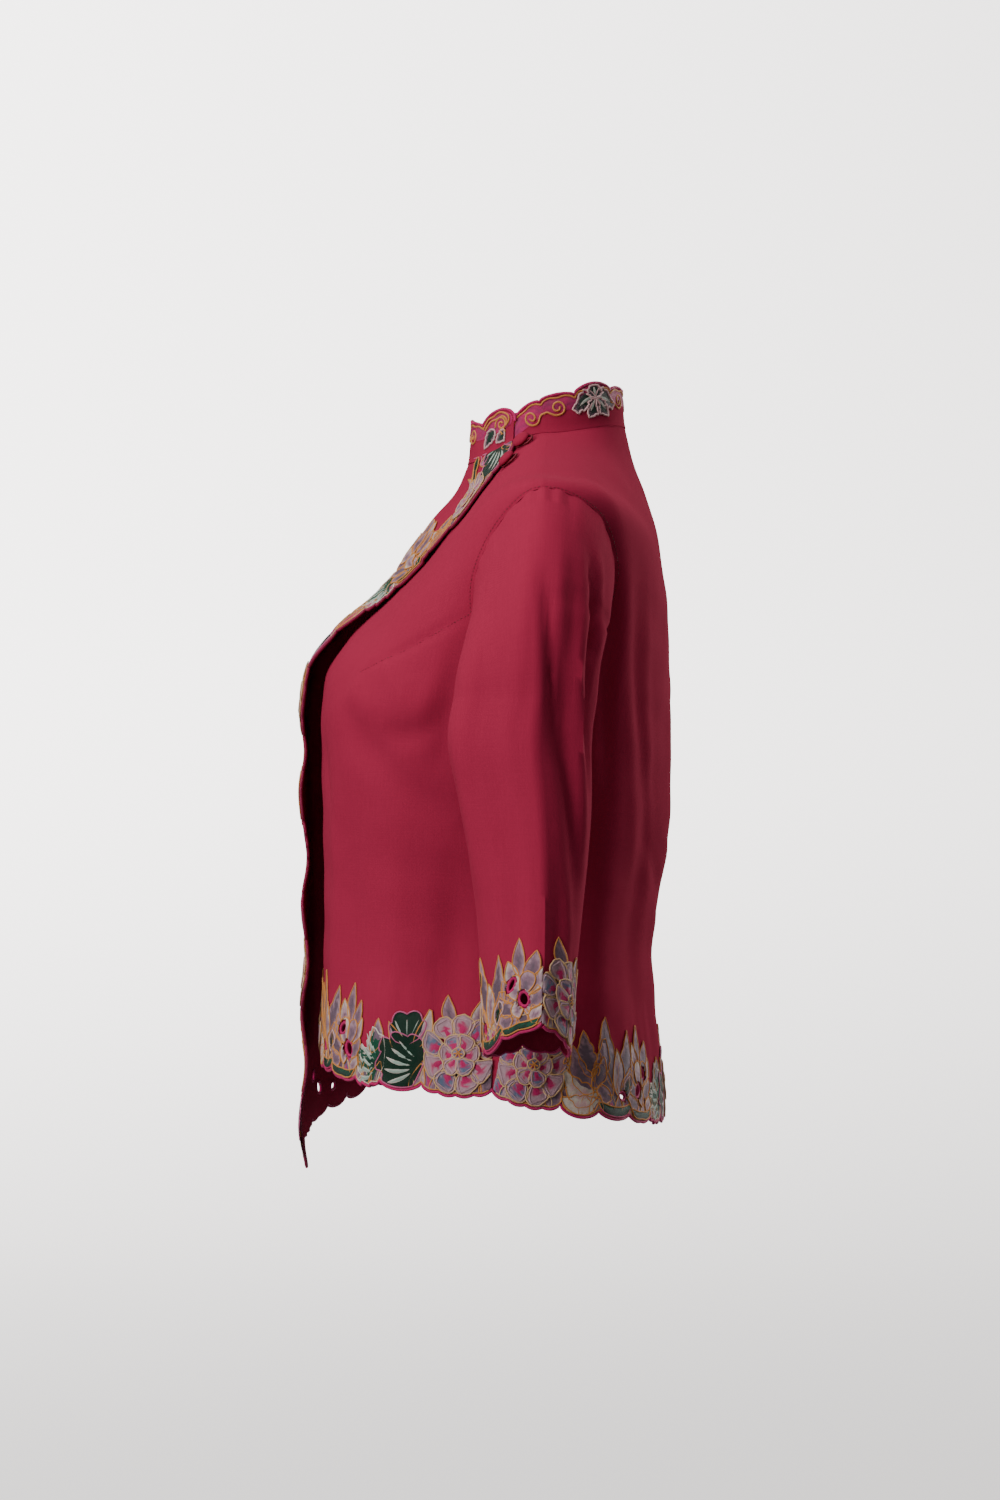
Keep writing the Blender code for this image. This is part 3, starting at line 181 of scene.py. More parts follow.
# The worn form, as in the part's source: sections of the body from the neck down
bodyForm = {
    "perDegree": 0.0029, "neckLevel": -0.057, "sideSeam": 90.0, "underEdge": -0.030,
    "collarTab": 66.0, "collarUnder": 14.0, "cloth": 0.0012, "lapGap": 0.0014,
    "columns": ("level", "halfWidth", "front", "sideY", "back", "zFront", "zSide", "zBack", "frontPower",
                "backPower"),
    "torso": (
        (-0.057, 0.062, -0.055, 0.005, 0.068, -0.005, 0.017, 0.025, 2.00, 2.00),
        (-0.032, 0.085, -0.065, 0.004, 0.074, -0.028, 0.007, 0.000, 1.60, 2.00),
        (-0.003, 0.118, -0.0805, 0.002, 0.083, -0.050, -0.007, -0.026, 1.43, 2.05),
        (0.029, 0.154, -0.0955, 0.000, 0.092, -0.072, -0.020, -0.055, 1.40, 2.10),
        (0.062, 0.187, -0.1135, 0.000, 0.098, -0.098, -0.034, -0.090, 1.48, 2.20),
        (0.096, 0.184, -0.1315, -0.006, 0.1010, -0.120, -0.075, -0.120, 1.80, 2.30),
        (0.132, 0.176, -0.1530, -0.013, 0.1020, -0.144, -0.120, -0.150, 2.15, 2.35),
        (0.165, 0.170, -0.1690, -0.020, 0.1030, -0.168, -0.165, -0.178, 2.45, 2.40),
        (0.200, 0.168, -0.1735, -0.026, 0.1030, -0.198, -0.200, -0.205, 2.75, 2.40),
        (0.245, 0.163, -0.1735, -0.030, 0.1030, -0.243, -0.245, -0.247, 2.75, 2.40),
        (0.300, 0.155, -0.1725, -0.034, 0.1010, -0.300, -0.300, -0.300, 2.65, 2.40),
        (0.350, 0.150, -0.1720, -0.036, 0.0940, -0.350, -0.350, -0.350, 2.60, 2.30),
        (0.385, 0.150, -0.1720, -0.037, 0.0890, -0.385, -0.385, -0.385, 2.60, 2.30),
        (0.430, 0.157, -0.1725, -0.038, 0.0910, -0.430, -0.430, -0.430, 2.60, 2.35),
        (0.480, 0.166, -0.1730, -0.038, 0.0950, -0.480, -0.480, -0.480, 2.60, 2.40),
        (0.540, 0.174, -0.1740, -0.038, 0.0980, -0.540, -0.540, -0.540, 2.60, 2.40),
        (0.610, 0.180, -0.1740, -0.038, 0.1000, -0.610, -0.610, -0.610, 2.60, 2.40),
    ),
    "armhole": (
        (0.001, -0.0345), (-0.020, -0.046), (-0.040, -0.073), (-0.052, -0.108), (-0.047, -0.147),
        (-0.018, -0.176), (0.022, -0.165), (0.046, -0.133), (0.055, -0.095), (0.046, -0.060), (0.026, -0.042),
    ),
    # Folds of both sides: three places as angle and level, then width and depth
    "folds": (
        (40, 0.188, 52, 0.245, 80, 0.292, 0.013, -0.0042),
        (50, 0.160, 63, 0.178, 70, 0.225, 0.012, 0.0030),
        (72, 0.205, 66, 0.232, 56, 0.214, 0.010, -0.0032),
        (33, 0.250, 35, 0.340, 32, 0.470, 0.016, 0.0030),
        (46, 0.300, 47, 0.380, 45, 0.500, 0.015, -0.0032),
        (62, 0.290, 60, 0.380, 62, 0.510, 0.016, 0.0030),
        (77, 0.300, 79, 0.400, 77, 0.510, 0.015, -0.0030),
        (104, 0.230, 106, 0.340, 104, 0.520, 0.018, -0.0035),
        (122, 0.160, 125, 0.320, 121, 0.530, 0.017, 0.0032),
        (140, 0.200, 142, 0.340, 139, 0.530, 0.018, -0.0030),
        (160, 0.150, 161, 0.330, 158, 0.530, 0.018, 0.0028),
        (112, 0.075, 119, 0.150, 116, 0.250, 0.014, 0.0040),
    ),
    # Creases listed one by one, left side first. A minus angle is the wearer's right
    "creases": (
        (76, 0.137, 63, 0.149, 46, 0.170, 0.0032, -0.0017),
        (75, 0.160, 76, 0.200, 73, 0.245, 0.0065, -0.0016),
        (47, 0.172, 44, 0.186, 47, 0.203, 0.0075, 0.0012),
        (70, 0.151, 70, 0.195, 67, 0.229, 0.0070, 0.0014),
        (72, 0.385, 74, 0.410, 75, 0.440, 0.0034, -0.0011),
        (68, 0.392, 70, 0.412, 71, 0.436, 0.0030, -0.0009),
        (64, 0.398, 65, 0.418, 64, 0.441, 0.0036, -0.0010),
        (56, 0.405, 57, 0.425, 55, 0.445, 0.0040, 0.0008),
        (115, 0.091, 124, 0.189, 138, 0.349, 0.0070, 0.0016),
        (125, 0.079, 133, 0.187, 149, 0.349, 0.0075, 0.0015),
        (120, 0.110, 129, 0.200, 142, 0.300, 0.0060, -0.0014),
        (139, 0.295, 152, 0.330, 172, 0.368, 0.0085, -0.0020),
        (150, 0.290, 160, 0.312, 176, 0.335, 0.0070, 0.0014),
        (98, 0.290, 108, 0.330, 128, 0.350, 0.0085, -0.0014),
        (30, 0.225, 29, 0.300, 33, 0.380, 0.0090, -0.0012),
        (20, 0.190, 24, 0.240, 38, 0.300, 0.0080, -0.0014),
        (100, 0.030, 108, 0.055, 113, 0.095, 0.0080, 0.0014),
        (80, 0.020, 70, 0.045, 62, 0.090, 0.0080, -0.0012),
        (98, 0.065, 102, 0.072, 107, 0.082, 0.0034, 0.0014),
        (111, 0.092, 114, 0.150, 120, 0.269, 0.0065, -0.0040),
        (96, 0.195, 104, 0.225, 118, 0.240, 0.0070, 0.0013),
        (86, 0.215, 84, 0.260, 86, 0.310, 0.0060, -0.0012),
        (-74, 0.136, -62, 0.150, -45, 0.171, 0.0032, -0.0017),
        (-73, 0.158, -75, 0.205, -70, 0.250, 0.0075, -0.0015),
        (-48, 0.172, -45, 0.190, -49, 0.210, 0.0070, 0.0013),
        (-66, 0.155, -68, 0.190, -64, 0.236, 0.0065, 0.0012),
        (-69, 0.400, -71, 0.422, -73, 0.450, 0.0036, -0.0011),
        (-60, 0.408, -61, 0.430, -60, 0.458, 0.0032, -0.0009),
        (-40, 0.420, -41, 0.445, -38, 0.475, 0.0038, -0.0010),
        (-28, 0.260, -27, 0.340, -30, 0.440, 0.0100, 0.0016),
        (-12, 0.300, -11, 0.380, -14, 0.480, 0.0110, -0.0018),
        (-20, 0.190, -25, 0.235, -39, 0.290, 0.0080, -0.0014),
        (-112, 0.100, -122, 0.185, -134, 0.330, 0.0075, 0.0015),
        (-127, 0.085, -135, 0.180, -146, 0.300, 0.0070, -0.0013),
        (-136, 0.300, -150, 0.326, -168, 0.352, 0.0090, -0.0018),
        (-100, 0.295, -110, 0.325, -126, 0.345, 0.0080, 0.0013),
        (-99, 0.032, -106, 0.058, -112, 0.090, 0.0075, 0.0013),
        (-82, 0.022, -72, 0.048, -64, 0.088, 0.0080, -0.0012),
        (176, 0.080, 178, 0.180, 174, 0.290, 0.0090, 0.0010),
        (190, 0.420, 192, 0.450, 189, 0.490, 0.0045, -0.0010),
        (150, 0.430, 151, 0.455, 149, 0.492, 0.0042, -0.0010),
        (212, 0.425, 214, 0.452, 215, 0.488, 0.0040, 0.0009),
    ),
    "seamDip": 0.00055, "seamDipWidth": 0.0026, "armholeDip": 0.7, "sideDipFrom": (0.08, 0.20),
    # where the armhole lies over the flat cloth, in metres across and the two ends down
    "armholeAcross": 0.261, "armholeReach": 0.10, "armholeDown": (-0.02, 0.25),
    # small gathers of the waist: waves to a metre, their bend, height, spread and depth
    "gatherWaves": 290, "gatherBend": 2.2, "gatherBendWaves": 61, "gatherLevel": 0.462,
    "gatherSpread": 0.022, "gatherDepth": 0.00045,
    # seed, wave length and depth of the uneven cloth, and the levels between which it sets in
    "uneven": (3, 0.055, 0.0005), "unevenFrom": (-0.05, 0.03),
}
sleeveForm = {
    "perDegree": 0.00085, "cap": 0.100, "capZ": -0.190, "cuffZ": -0.4535,
    "creaseRise": 0.0055, "creaseWidth": 0.0085, "creaseShift": 0.0125,
    "columns": ("z", "x", "y", "halfWidth", "halfDepth"),
    "rows": (
        (-0.150, 0.2125, -0.012, 0.0435, 0.0480), (-0.190, 0.2150, -0.017, 0.0445, 0.0515),
        (-0.225, 0.2175, -0.020, 0.0455, 0.0530), (-0.270, 0.2210, -0.016, 0.0455, 0.0490),
        (-0.310, 0.2240, -0.0135, 0.0455, 0.0440), (-0.350, 0.2265, -0.0125, 0.0455, 0.0388),
        (-0.390, 0.2285, -0.013, 0.0450, 0.0350), (-0.430, 0.2300, -0.0140, 0.0445, 0.0322),
        (-0.500, 0.2320, -0.0160, 0.0440, 0.0290),
    ),
    "folds": (
        (338, 0.045, 330, 0.150, 312, 0.260, 0.009, -0.0055),
        (318, 0.035, 316, 0.120, 300, 0.230, 0.008, 0.0045),
        (300, 0.025, 296, 0.090, 290, 0.170, 0.006, -0.0060),
        (285, 0.020, 276, 0.070, 268, 0.130, 0.008, 0.0040),
        (40, 0.060, 36, 0.180, 30, 0.330, 0.010, -0.0025),
        (75, 0.050, 70, 0.170, 78, 0.260, 0.010, 0.0030),
        (20, 0.150, 16, 0.250, 14, 0.340, 0.008, 0.0018),
        (340, 0.220, 345, 0.290, 338, 0.350, 0.010, -0.0022),
        (100, 0.130, 110, 0.170, 130, 0.190, 0.009, -0.0030),
        (240, 0.140, 225, 0.190, 205, 0.220, 0.009, -0.0030),
    ),
    "creases": (
        (358, 0.044, 350, 0.076, 338, 0.150, 0.0036, -0.0042),
        (3, 0.040, 354, 0.049, 352, 0.060, 0.0026, -0.0020),
        (333, 0.003, 320, 0.012, 306, 0.016, 0.0028, 0.0032),
        (336, 0.026, 329, 0.027, 318, 0.016, 0.0026, -0.0032),
        (322, 0.022, 313, 0.046, 292, 0.076, 0.0034, -0.0070),
        (315, 0.020, 300, 0.036, 288, 0.070, 0.0036, 0.0044),
        (345, 0.028, 343, 0.054, 332, 0.090, 0.0046, 0.0028),
        (12, 0.030, 12, 0.058, 14, 0.110, 0.0054, 0.0020),
        (285, 0.078, 282, 0.120, 300, 0.190, 0.0050, -0.0020),
        (326, 0.060, 318, 0.110, 312, 0.170, 0.0040, -0.0024),
        (40, 0.020, 46, 0.060, 54, 0.160, 0.0050, -0.0012),
        (16, 0.030, 19, 0.110, 34, 0.250, 0.0060, 0.0010),
        (62, 0.050, 60, 0.120, 66, 0.200, 0.0060, 0.0012),
        (25, 0.120, 22, 0.200, 24, 0.300, 0.0060, -0.0010),
        (120, 0.100, 135, 0.130, 160, 0.150, 0.0070, -0.0022),
        (305, 0.050, 303, 0.090, 300, 0.150, 0.0042, -0.0030),
        (292, 0.030, 286, 0.075, 290, 0.140, 0.0048, 0.0022),
        (200, 0.120, 180, 0.160, 150, 0.170, 0.0080, 0.0018),
        (210, 0.160, 225, 0.200, 240, 0.240, 0.0070, -0.0016),
        (110, 0.220, 100, 0.280, 95, 0.330, 0.0070, 0.0012),
        (250, 0.200, 262, 0.260, 258, 0.330, 0.0060, -0.0012),
        (326, 0.240, 320, 0.290, 324, 0.335, 0.0060, 0.0012),
        (88, 0.100, 92, 0.150, 108, 0.180, 0.0060, 0.0014),
        (48, 0.230, 55, 0.280, 52, 0.330, 0.0055, 0.0009),
    ),
    # gathers of the crown: depth, waves round the sleeve and their bend, then where they lie and how wide
    "gatherDepth": 0.0008, "gatherWaves": 24, "gatherBend": 1.6, "gatherBendWaves": 5,
    "gatherTurn": -4.0, "gatherWide": 52.0, "gatherAlong": 0.006, "gatherReach": 0.018,
    "cuffArch": 0.022, "cuffArchTurn": 60.0,
    # how much fuller the tube is at its back, and how the cloth leaves the armhole, below and at the crown
    "fuller": 0.10, "leaveOut": (0.10, 0.85), "leaveDown": (-1.0, 0.30),
    # seed, wave length and depth of the uneven cloth, and where the folds set in and calm down
    "uneven": (8, 0.050, 0.0004), "foldsFrom": (0.004, 0.050), "foldsUntil": (0.320, 0.370),
    "cuffCalm": 0.7, "creaseFrom": (0.030, 0.110),
}


def tableColumn(rows, columns, name):
    return np.array([row[columns.index(name)] for row in rows], float)


def curveThrough(knots, values, at):
    slopes = np.gradient(values, knots)
    at = np.asarray(at, float)
    past = np.minimum(at - knots[0], 0.0) * slopes[0] + np.maximum(at - knots[-1], 0.0) * slopes[-1]
    i = np.clip(np.searchsorted(knots, at) - 1, 0, len(knots) - 2)
    step = knots[i + 1] - knots[i]
    t = np.clip((at - knots[i]) / step, 0.0, 1.0)
    return ((1 + 2 * t) * (1 - t) ** 2 * values[i] + t * (1 - t) ** 2 * step * slopes[i]
            + t * t * (3 - 2 * t) * values[i + 1] + t * t * (t - 1) * step * slopes[i + 1] + past)


def smooth(low, high, value):
    t = np.clip((np.asarray(value, float) - low) / (high - low), 0.0, 1.0)
    return t * t * (3 - 2 * t)


torsoAt = {name: tableColumn(bodyForm["torso"], bodyForm["columns"], name) for name in bodyForm["columns"]}
sleeveAt = {name: tableColumn(sleeveForm["rows"], sleeveForm["columns"], name)[::-1]
            for name in sleeveForm["columns"]}


def torsoForm(angle, level):
    part = {name: curveThrough(torsoAt["level"], torsoAt[name], level) for name in bodyForm["columns"][1:]}
    turn = np.radians(angle)
    out, ahead = np.sin(turn), np.cos(turn)
    inFront = ahead > 0
    depth = np.where(inFront, part["sideY"] - part["front"], part["back"] - part["sideY"])
    power = np.where(inFront, part["frontPower"], part["backPower"])
    reach = (np.abs(out / part["halfWidth"]) ** power + np.abs(ahead / depth) ** power) ** (-1 / power)
    endZ = np.where(inFront, part["zFront"], part["zBack"])
    z = part["zSide"] + (endZ - part["zSide"]) * (1 - np.abs(out) ** 5)
    return np.stack([reach * out, part["sideY"] - reach * ahead, z], axis=-1)


def foldDepth(across, along, rows, perDegree):
    # Sum of the folds. Each one is worked out only near its own line
    across, along = np.broadcast_arrays(np.asarray(across, float), np.asarray(along, float))
    total = np.zeros(across.shape)
    for a0, l0, a1, l1, a2, l2, width, depth in rows:
        near = (across - a1 + 180.0) % 360.0 - 180.0 + a1
        x, y = near * perDegree, along
        reach = 3 * width
        close = ((x > min(a0, a1, a2) * perDegree - reach) & (x < max(a0, a1, a2) * perDegree + reach)
                 & (y > min(l0, l1, l2) - reach) & (y < max(l0, l1, l2) + reach))
        if not close.any():
            continue
        x, y = x[close], y[close]
        t = np.linspace(0, 1, 13)
        lineX = ((1 - t) ** 2 * a0 + 2 * t * (1 - t) * a1 + t * t * a2) * perDegree
        lineY = (1 - t) ** 2 * l0 + 2 * t * (1 - t) * l1 + t * t * l2
        best, where = np.full(x.shape, 1e9), np.zeros(x.shape)
        for k in range(12):
            runX, runY = lineX[k + 1] - lineX[k], lineY[k + 1] - lineY[k]
            share = np.clip(((x - lineX[k]) * runX + (y - lineY[k]) * runY) / (runX ** 2 + runY ** 2), 0, 1)
            gap = np.hypot(x - lineX[k] - share * runX, y - lineY[k] - share * runY)
            nearer = gap < best
            best = np.where(nearer, gap, best)
            where = np.where(nearer, t[k] + share / 12, where)
        fade = np.sin(np.pi * np.clip(where, 0.04, 0.96)) ** 0.7
        total[close] += depth * np.exp(-((best / width) ** 2)) * fade
    return total


def unevenness(x, y, seed, size, depth):
    # Slow, irregular waves of the cloth
    chance = np.random.default_rng(seed)
    total = 0.0
    for _ in range(9):
        turn, length = chance.uniform(0, np.pi), size * chance.uniform(0.6, 2.2)
        along = (x * np.cos(turn) + y * np.sin(turn)) * 2 * np.pi / length
        total = total + np.sin(along + chance.uniform(0, 6.3))
    return depth * total / 3.0


def outward(surface, across, along, stepA, stepL):
    byA = surface(across + stepA, along) - surface(across - stepA, along)
    byL = surface(across, along + stepL) - surface(across, along - stepL)
    normal = np.cross(byL, byA)
    return normal / np.linalg.norm(normal, axis=-1, keepdims=True)


def closedCurve(points, count):
    points = np.asarray(points, float)
    n, fine = len(points), []
    for i in range(n):
        p0, p1, p2, p3 = (points[(i + k) % n] for k in (-1, 0, 1, 2))
        for t in np.linspace(0, 1, 12, endpoint=False):
            fine.append(0.5 * (2 * p1 + (p2 - p0) * t + (2 * p0 - 5 * p1 + 4 * p2 - p3) * t * t
                               + (3 * p1 - p0 - 3 * p2 + p3) * t ** 3))
    fine = np.array(fine + fine[:1])
    run = np.concatenate([[0], np.cumsum(np.linalg.norm(np.diff(fine, axis=0), axis=1))])
    at = np.linspace(0, run[-1], count, endpoint=False)
    return np.stack([np.interp(at, run, fine[:, k]) for k in range(fine.shape[1])], axis=1)


def onBody(first, firstValue, second, secondValue, angle, level):
    want, at = np.array([firstValue, secondValue]), np.array([angle, level], float)
    for _ in range(40):
        here = torsoForm(at[0], at[1])[[first, second]]
        byAngle = (torsoForm(at[0] + 0.1, at[1])[[first, second]] - here) / 0.1
        byLevel = (torsoForm(at[0], at[1] + 0.0005)[[first, second]] - here) / 0.0005
        move = np.linalg.lstsq(np.stack([byAngle, byLevel], axis=1), want - here, rcond=None)[0]
        at = at + np.clip(move, (-4.0, -0.02), (4.0, 0.02))
    return at


bodyScale = np.array([bodyForm["perDegree"], 1.0])
armholeRing = closedCurve(np.array([onBody(1, y, 2, z, 90.0 + 500 * y, max(0.062, -z))
                                    for y, z in bodyForm["armhole"]]) * bodyScale, 240)


def distanceTo(line, points, closed=True):
    best = np.full(len(points), 1e9)
    ends = np.roll(line, -1, axis=0) if closed else line[1:]
    for start, end in zip(line, ends):
        run = end - start
        share = np.clip(((points - start) @ run) / max(run @ run, 1e-12), 0, 1)
        best = np.minimum(best, np.linalg.norm(points - start - share[:, None] * run, axis=1))
    return best


def bodyCloth(angle, level, lift=0.0):
    angle, level = np.broadcast_arrays(np.asarray(angle, float), np.asarray(level, float))
    signed = (angle + 180.0) % 360.0 - 180.0
    halfTurn = np.abs(signed)
    per = bodyForm["perDegree"]
    rise = foldDepth(halfTurn, level, bodyForm["folds"], per)
    rise = rise + foldDepth(angle, level, bodyForm["creases"], per)
    away = np.abs(halfTurn - bodyForm["sideSeam"]) * per
    flat = np.stack([halfTurn.ravel() * per, level.ravel()], axis=1)
    hole = np.full(halfTurn.size, 1.0)
    high, low = bodyForm["armholeDown"]
    close = (np.abs(flat[:, 0] - bodyForm["armholeAcross"]) < bodyForm["armholeReach"])
    close &= (flat[:, 1] > high) & (flat[:, 1] < low)
    if close.any():
        hole[close] = distanceTo(armholeRing, flat[close])
    hole = hole.reshape(halfTurn.shape)
    width = bodyForm["seamDipWidth"]
    sideDip = np.exp(-(away / width) ** 2) * smooth(*bodyForm["sideDipFrom"], level)
    dip = np.maximum(sideDip, bodyForm["armholeDip"] * np.exp(-(hole / width) ** 2))
    rise = rise - bodyForm["seamDip"] * dip
    x, y = signed * per, level
    rise = rise + unevenness(x, y, *bodyForm["uneven"]) * smooth(*bodyForm["unevenFrom"], level)
    bend = bodyForm["gatherBend"] * np.sin(x * bodyForm["gatherBendWaves"])
    gather = np.sin(x * bodyForm["gatherWaves"] + bend)
    gather = gather * np.exp(-((level - bodyForm["gatherLevel"]) / bodyForm["gatherSpread"]) ** 2)
    rise = rise + bodyForm["gatherDepth"] * gather + lift
    return torsoForm(angle, level) + outward(torsoForm, angle, level, 0.5, 0.002) * rise[..., None]


# How the right front lifts off the left one. Pairs are two angles or two levels between which it sets in
lapForm = {
    "lapTurn": (-34.0, -18.0), "flareTurn": (-42.0, -2.0),
    "upperFlare": 0.0042, "upperFrom": (-0.045, 0.010), "lowerFlare": 0.0080, "lowerFrom": (0.050, 0.170),
    # by the neck the edge lies down again
    "neckTurn": 13.0, "neckEnds": (29.0, 50.0), "neckBelow": 0.05, "neckUntil": (0.130, 0.200),
    "wave": 0.0024, "waves": 75.0, "waveFrom": (0.180, 0.260), "waveTurn": (-12.0, 8.0),
}


def lapLift(angle, level):
    angle, level = np.asarray(angle, float), np.asarray(level, float)
    lapped = smooth(*lapForm["lapTurn"], angle) * (bodyForm["cloth"] + bodyForm["lapGap"])
    flare = (lapForm["upperFlare"] * smooth(*lapForm["upperFrom"], level)
             + lapForm["lowerFlare"] * smooth(*lapForm["lowerFrom"], level))
    flare = flare * smooth(*lapForm["flareTurn"], angle)
    neckEnd = np.where(level > lapForm["neckBelow"], *lapForm["neckEnds"])
    atNeck = smooth(lapForm["neckTurn"], neckEnd, angle) * (1 - smooth(*lapForm["neckUntil"], level))
    flare = flare * (1 - atNeck)
    wave = lapForm["wave"] * np.sin(level * lapForm["waves"])
    wave = wave * smooth(*lapForm["waveFrom"], level) * smooth(*lapForm["waveTurn"], angle)
    return lapped + flare + wave


def lappingCloth(angle, level):
    return bodyCloth(angle, level, lapLift(angle, level))


# The stand collar: its height at each angle, and its lean and the swell at its foot in metres
collarForm = {
    "angles": (-346.0, -330.0, -312.0, -297.0, -280.0, -262.0, -240.0, -180.0, -90.0, -40.0, 0.0, 30.0,
               50.0, 58.0, 63.0, 66.0),
    "heights": (0.008, 0.009, 0.012, 0.017, 0.0235, 0.0270, 0.0280, 0.0275, 0.028, 0.031, 0.032, 0.027,
                0.0262, 0.0240, 0.0200, 0.0135),
    "lean": -0.09, "footSwell": 0.0006, "footHeight": 0.0022, "lift": 0.0002,
}


def collarHeight(angle):
    return curveThrough(np.array(collarForm["angles"]), np.array(collarForm["heights"]), angle)


def collarCloth(angle, height):
    angle, height = np.broadcast_arrays(np.asarray(angle, float), np.asarray(height, float))
    base = lappingCloth(angle, np.full(angle.shape, bodyForm["neckLevel"]))
    out = np.stack([np.sin(np.radians(angle)), -np.cos(np.radians(angle)), 0 * angle], axis=-1)
    foot = collarForm["footSwell"] * np.exp(-(height / collarForm["footHeight"]) ** 2)
    lean = collarForm["lean"] * height + foot
    rise = np.stack([0 * height, 0 * height, height + collarForm["lift"]], axis=-1)
    return base + out * lean[..., None] + rise


class ClothNet:
    # A surface kept as a fine net over its flat cloth, read back anywhere on it
    def __init__(self, surface, across, along, perDegree, facing, stepA=0.5, stepL=0.0015):
        self.perDegree = perDegree
        self.scale = np.array([perDegree, 1.0])
        self.a = np.arange(across[0], across[1] + stepA, stepA)
        self.l = np.arange(along[0], along[1] + stepL, stepL)
        self.points = surface(*np.meshgrid(self.a, self.l, indexing="ij"))
        normal = np.cross(np.gradient(self.points, axis=1), np.gradient(self.points, axis=0)) * facing
        self.normals = normal / np.linalg.norm(normal, axis=-1, keepdims=True)

    def read(self, net, a, l):
        x = np.clip((np.asarray(a, float) - self.a[0]) / (self.a[1] - self.a[0]), 0, len(self.a) - 1.001)
        y = np.clip((np.asarray(l, float) - self.l[0]) / (self.l[1] - self.l[0]), 0, len(self.l) - 1.001)
        i, j = x.astype(int), y.astype(int)
        u, v = (x - i)[..., None], (y - j)[..., None]
        return (net[i, j] * (1 - u) * (1 - v) + net[i + 1, j] * u * (1 - v)
                + net[i, j + 1] * (1 - u) * v + net[i + 1, j + 1] * u * v)

    def at(self, a, l, lift=0.0):
        out = self.read(self.normals, a, l) * np.asarray(lift, float)[..., None]
        return self.read(self.points, a, l) + out


bodyNet = ClothNet(bodyCloth, (-22.0, 274.0), (-0.060, 0.560), bodyForm["perDegree"], 1.0)
lapNet = ClothNet(lappingCloth, (-94.0, 74.0), (-0.060, 0.600), bodyForm["perDegree"], 1.0)
collarNet = ClothNet(collarCloth, (-348.0, 68.0), (-0.002, 0.044), 0.00115, -1.0, 1.0, 0.001)
print("body laid out")

ringFlat = armholeRing / bodyScale
sleeveRing = bodyNet.at(ringFlat[:, 0], ringFlat[:, 1])


def sleeveCloth(turn, along):
    turn, along = np.broadcast_arrays(np.asarray(turn, float) % 360.0, np.asarray(along, float))

    def plain(turn, along):
        def tube(z):
            angle = np.radians(turn)
            part = {name: curveThrough(sleeveAt["z"], sleeveAt[name], z)
                    for name in sleeveForm["columns"][1:]}
            x = part["x"] + part["halfWidth"] * np.cos(angle)
            y = part["y"] - part["halfDepth"] * np.sin(angle) * (1 - sleeveForm["fuller"] * np.cos(angle))
            y = y + sleeveForm["creaseShift"] * ((1 + np.cos(angle)) / 2) ** 2
            return np.stack([x, y, z + 0 * x], axis=-1)

        turn = turn % 360.0
        cap = sleeveForm["cap"]
        below = tube(sleeveForm["capZ"] - np.maximum(along - cap, 0.0))
        t = np.clip(along / cap, -0.2, 1.0)[..., None]
        place = turn / 360.0 * len(sleeveRing)
        i = np.floor(place).astype(int)
        part = (place - i)[..., None]
        start = sleeveRing[i % len(sleeveRing)] * (1 - part) + sleeveRing[(i + 1) % len(sleeveRing)] * part
        end = tube(np.full(np.shape(turn), sleeveForm["capZ"]))
        upper = ((1 + np.cos(np.radians(turn))) / 2)[..., None]
        out, down = sleeveForm["leaveOut"], sleeveForm["leaveDown"]
        leave = np.concatenate([out[0] + out[1] * upper, 0 * upper, down[0] + down[1] * upper], axis=-1)
        arrive = np.concatenate([0 * upper, 0 * upper, -np.ones_like(upper)], axis=-1)
        reach = np.linalg.norm(end - start, axis=-1, keepdims=True)
        top = ((1 + 2 * t) * (1 - t) ** 2 * start + t * (1 - t) ** 2 * leave * reach
               + t * t * (3 - 2 * t) * end + t * t * (t - 1) * arrive * reach)
        return np.where(along[..., None] >= cap, below, top)

    per = sleeveForm["perDegree"]
    rise = foldDepth(turn, along, sleeveForm["folds"], per)
    rise = rise + foldDepth(turn, along, sleeveForm["creases"], per)
    waves = unevenness(turn * per * 0.7, along, *sleeveForm["uneven"])
    rise = rise + waves * np.sin(np.radians(turn / 2)) ** 2
    calm = 1 - sleeveForm["cuffCalm"] * smooth(*sleeveForm["foldsUntil"], along)
    rise = rise * smooth(*sleeveForm["foldsFrom"], along) * calm
    fromCrease = np.minimum(turn, 360.0 - turn) * per
    rise = rise + (sleeveForm["creaseRise"] * np.exp(-fromCrease / sleeveForm["creaseWidth"])
                   * smooth(*sleeveForm["creaseFrom"], along))
    signed = (turn + 180.0) % 360.0 - 180.0
    bend = sleeveForm["gatherBend"] * np.sin(np.radians(signed) * sleeveForm["gatherBendWaves"])
    gather = np.cos(np.radians(signed) * sleeveForm["gatherWaves"] + bend)
    window = (np.exp(-((signed - sleeveForm["gatherTurn"]) / sleeveForm["gatherWide"]) ** 2)
              * np.exp(-((along - sleeveForm["gatherAlong"]) / sleeveForm["gatherReach"]) ** 2))
    rise = rise + sleeveForm["gatherDepth"] * gather * window
    normal = -outward(plain, turn, along, 1.0, 0.002)
    return plain(turn, along) + normal * rise[..., None]


def rightSleeveCloth(turn, along):
    return sleeveCloth(turn, along) * np.array([-1.0, 1.0, 1.0])


leftSleeveNet = ClothNet(sleeveCloth, (-182.0, 182.0), (0.0, 0.385), sleeveForm["perDegree"], -1.0, 1.0)
rightSleeveNet = ClothNet(rightSleeveCloth, (-182.0, 182.0), (0.0, 0.385), sleeveForm["perDegree"], 1.0, 1.0)
print("sleeves laid out")

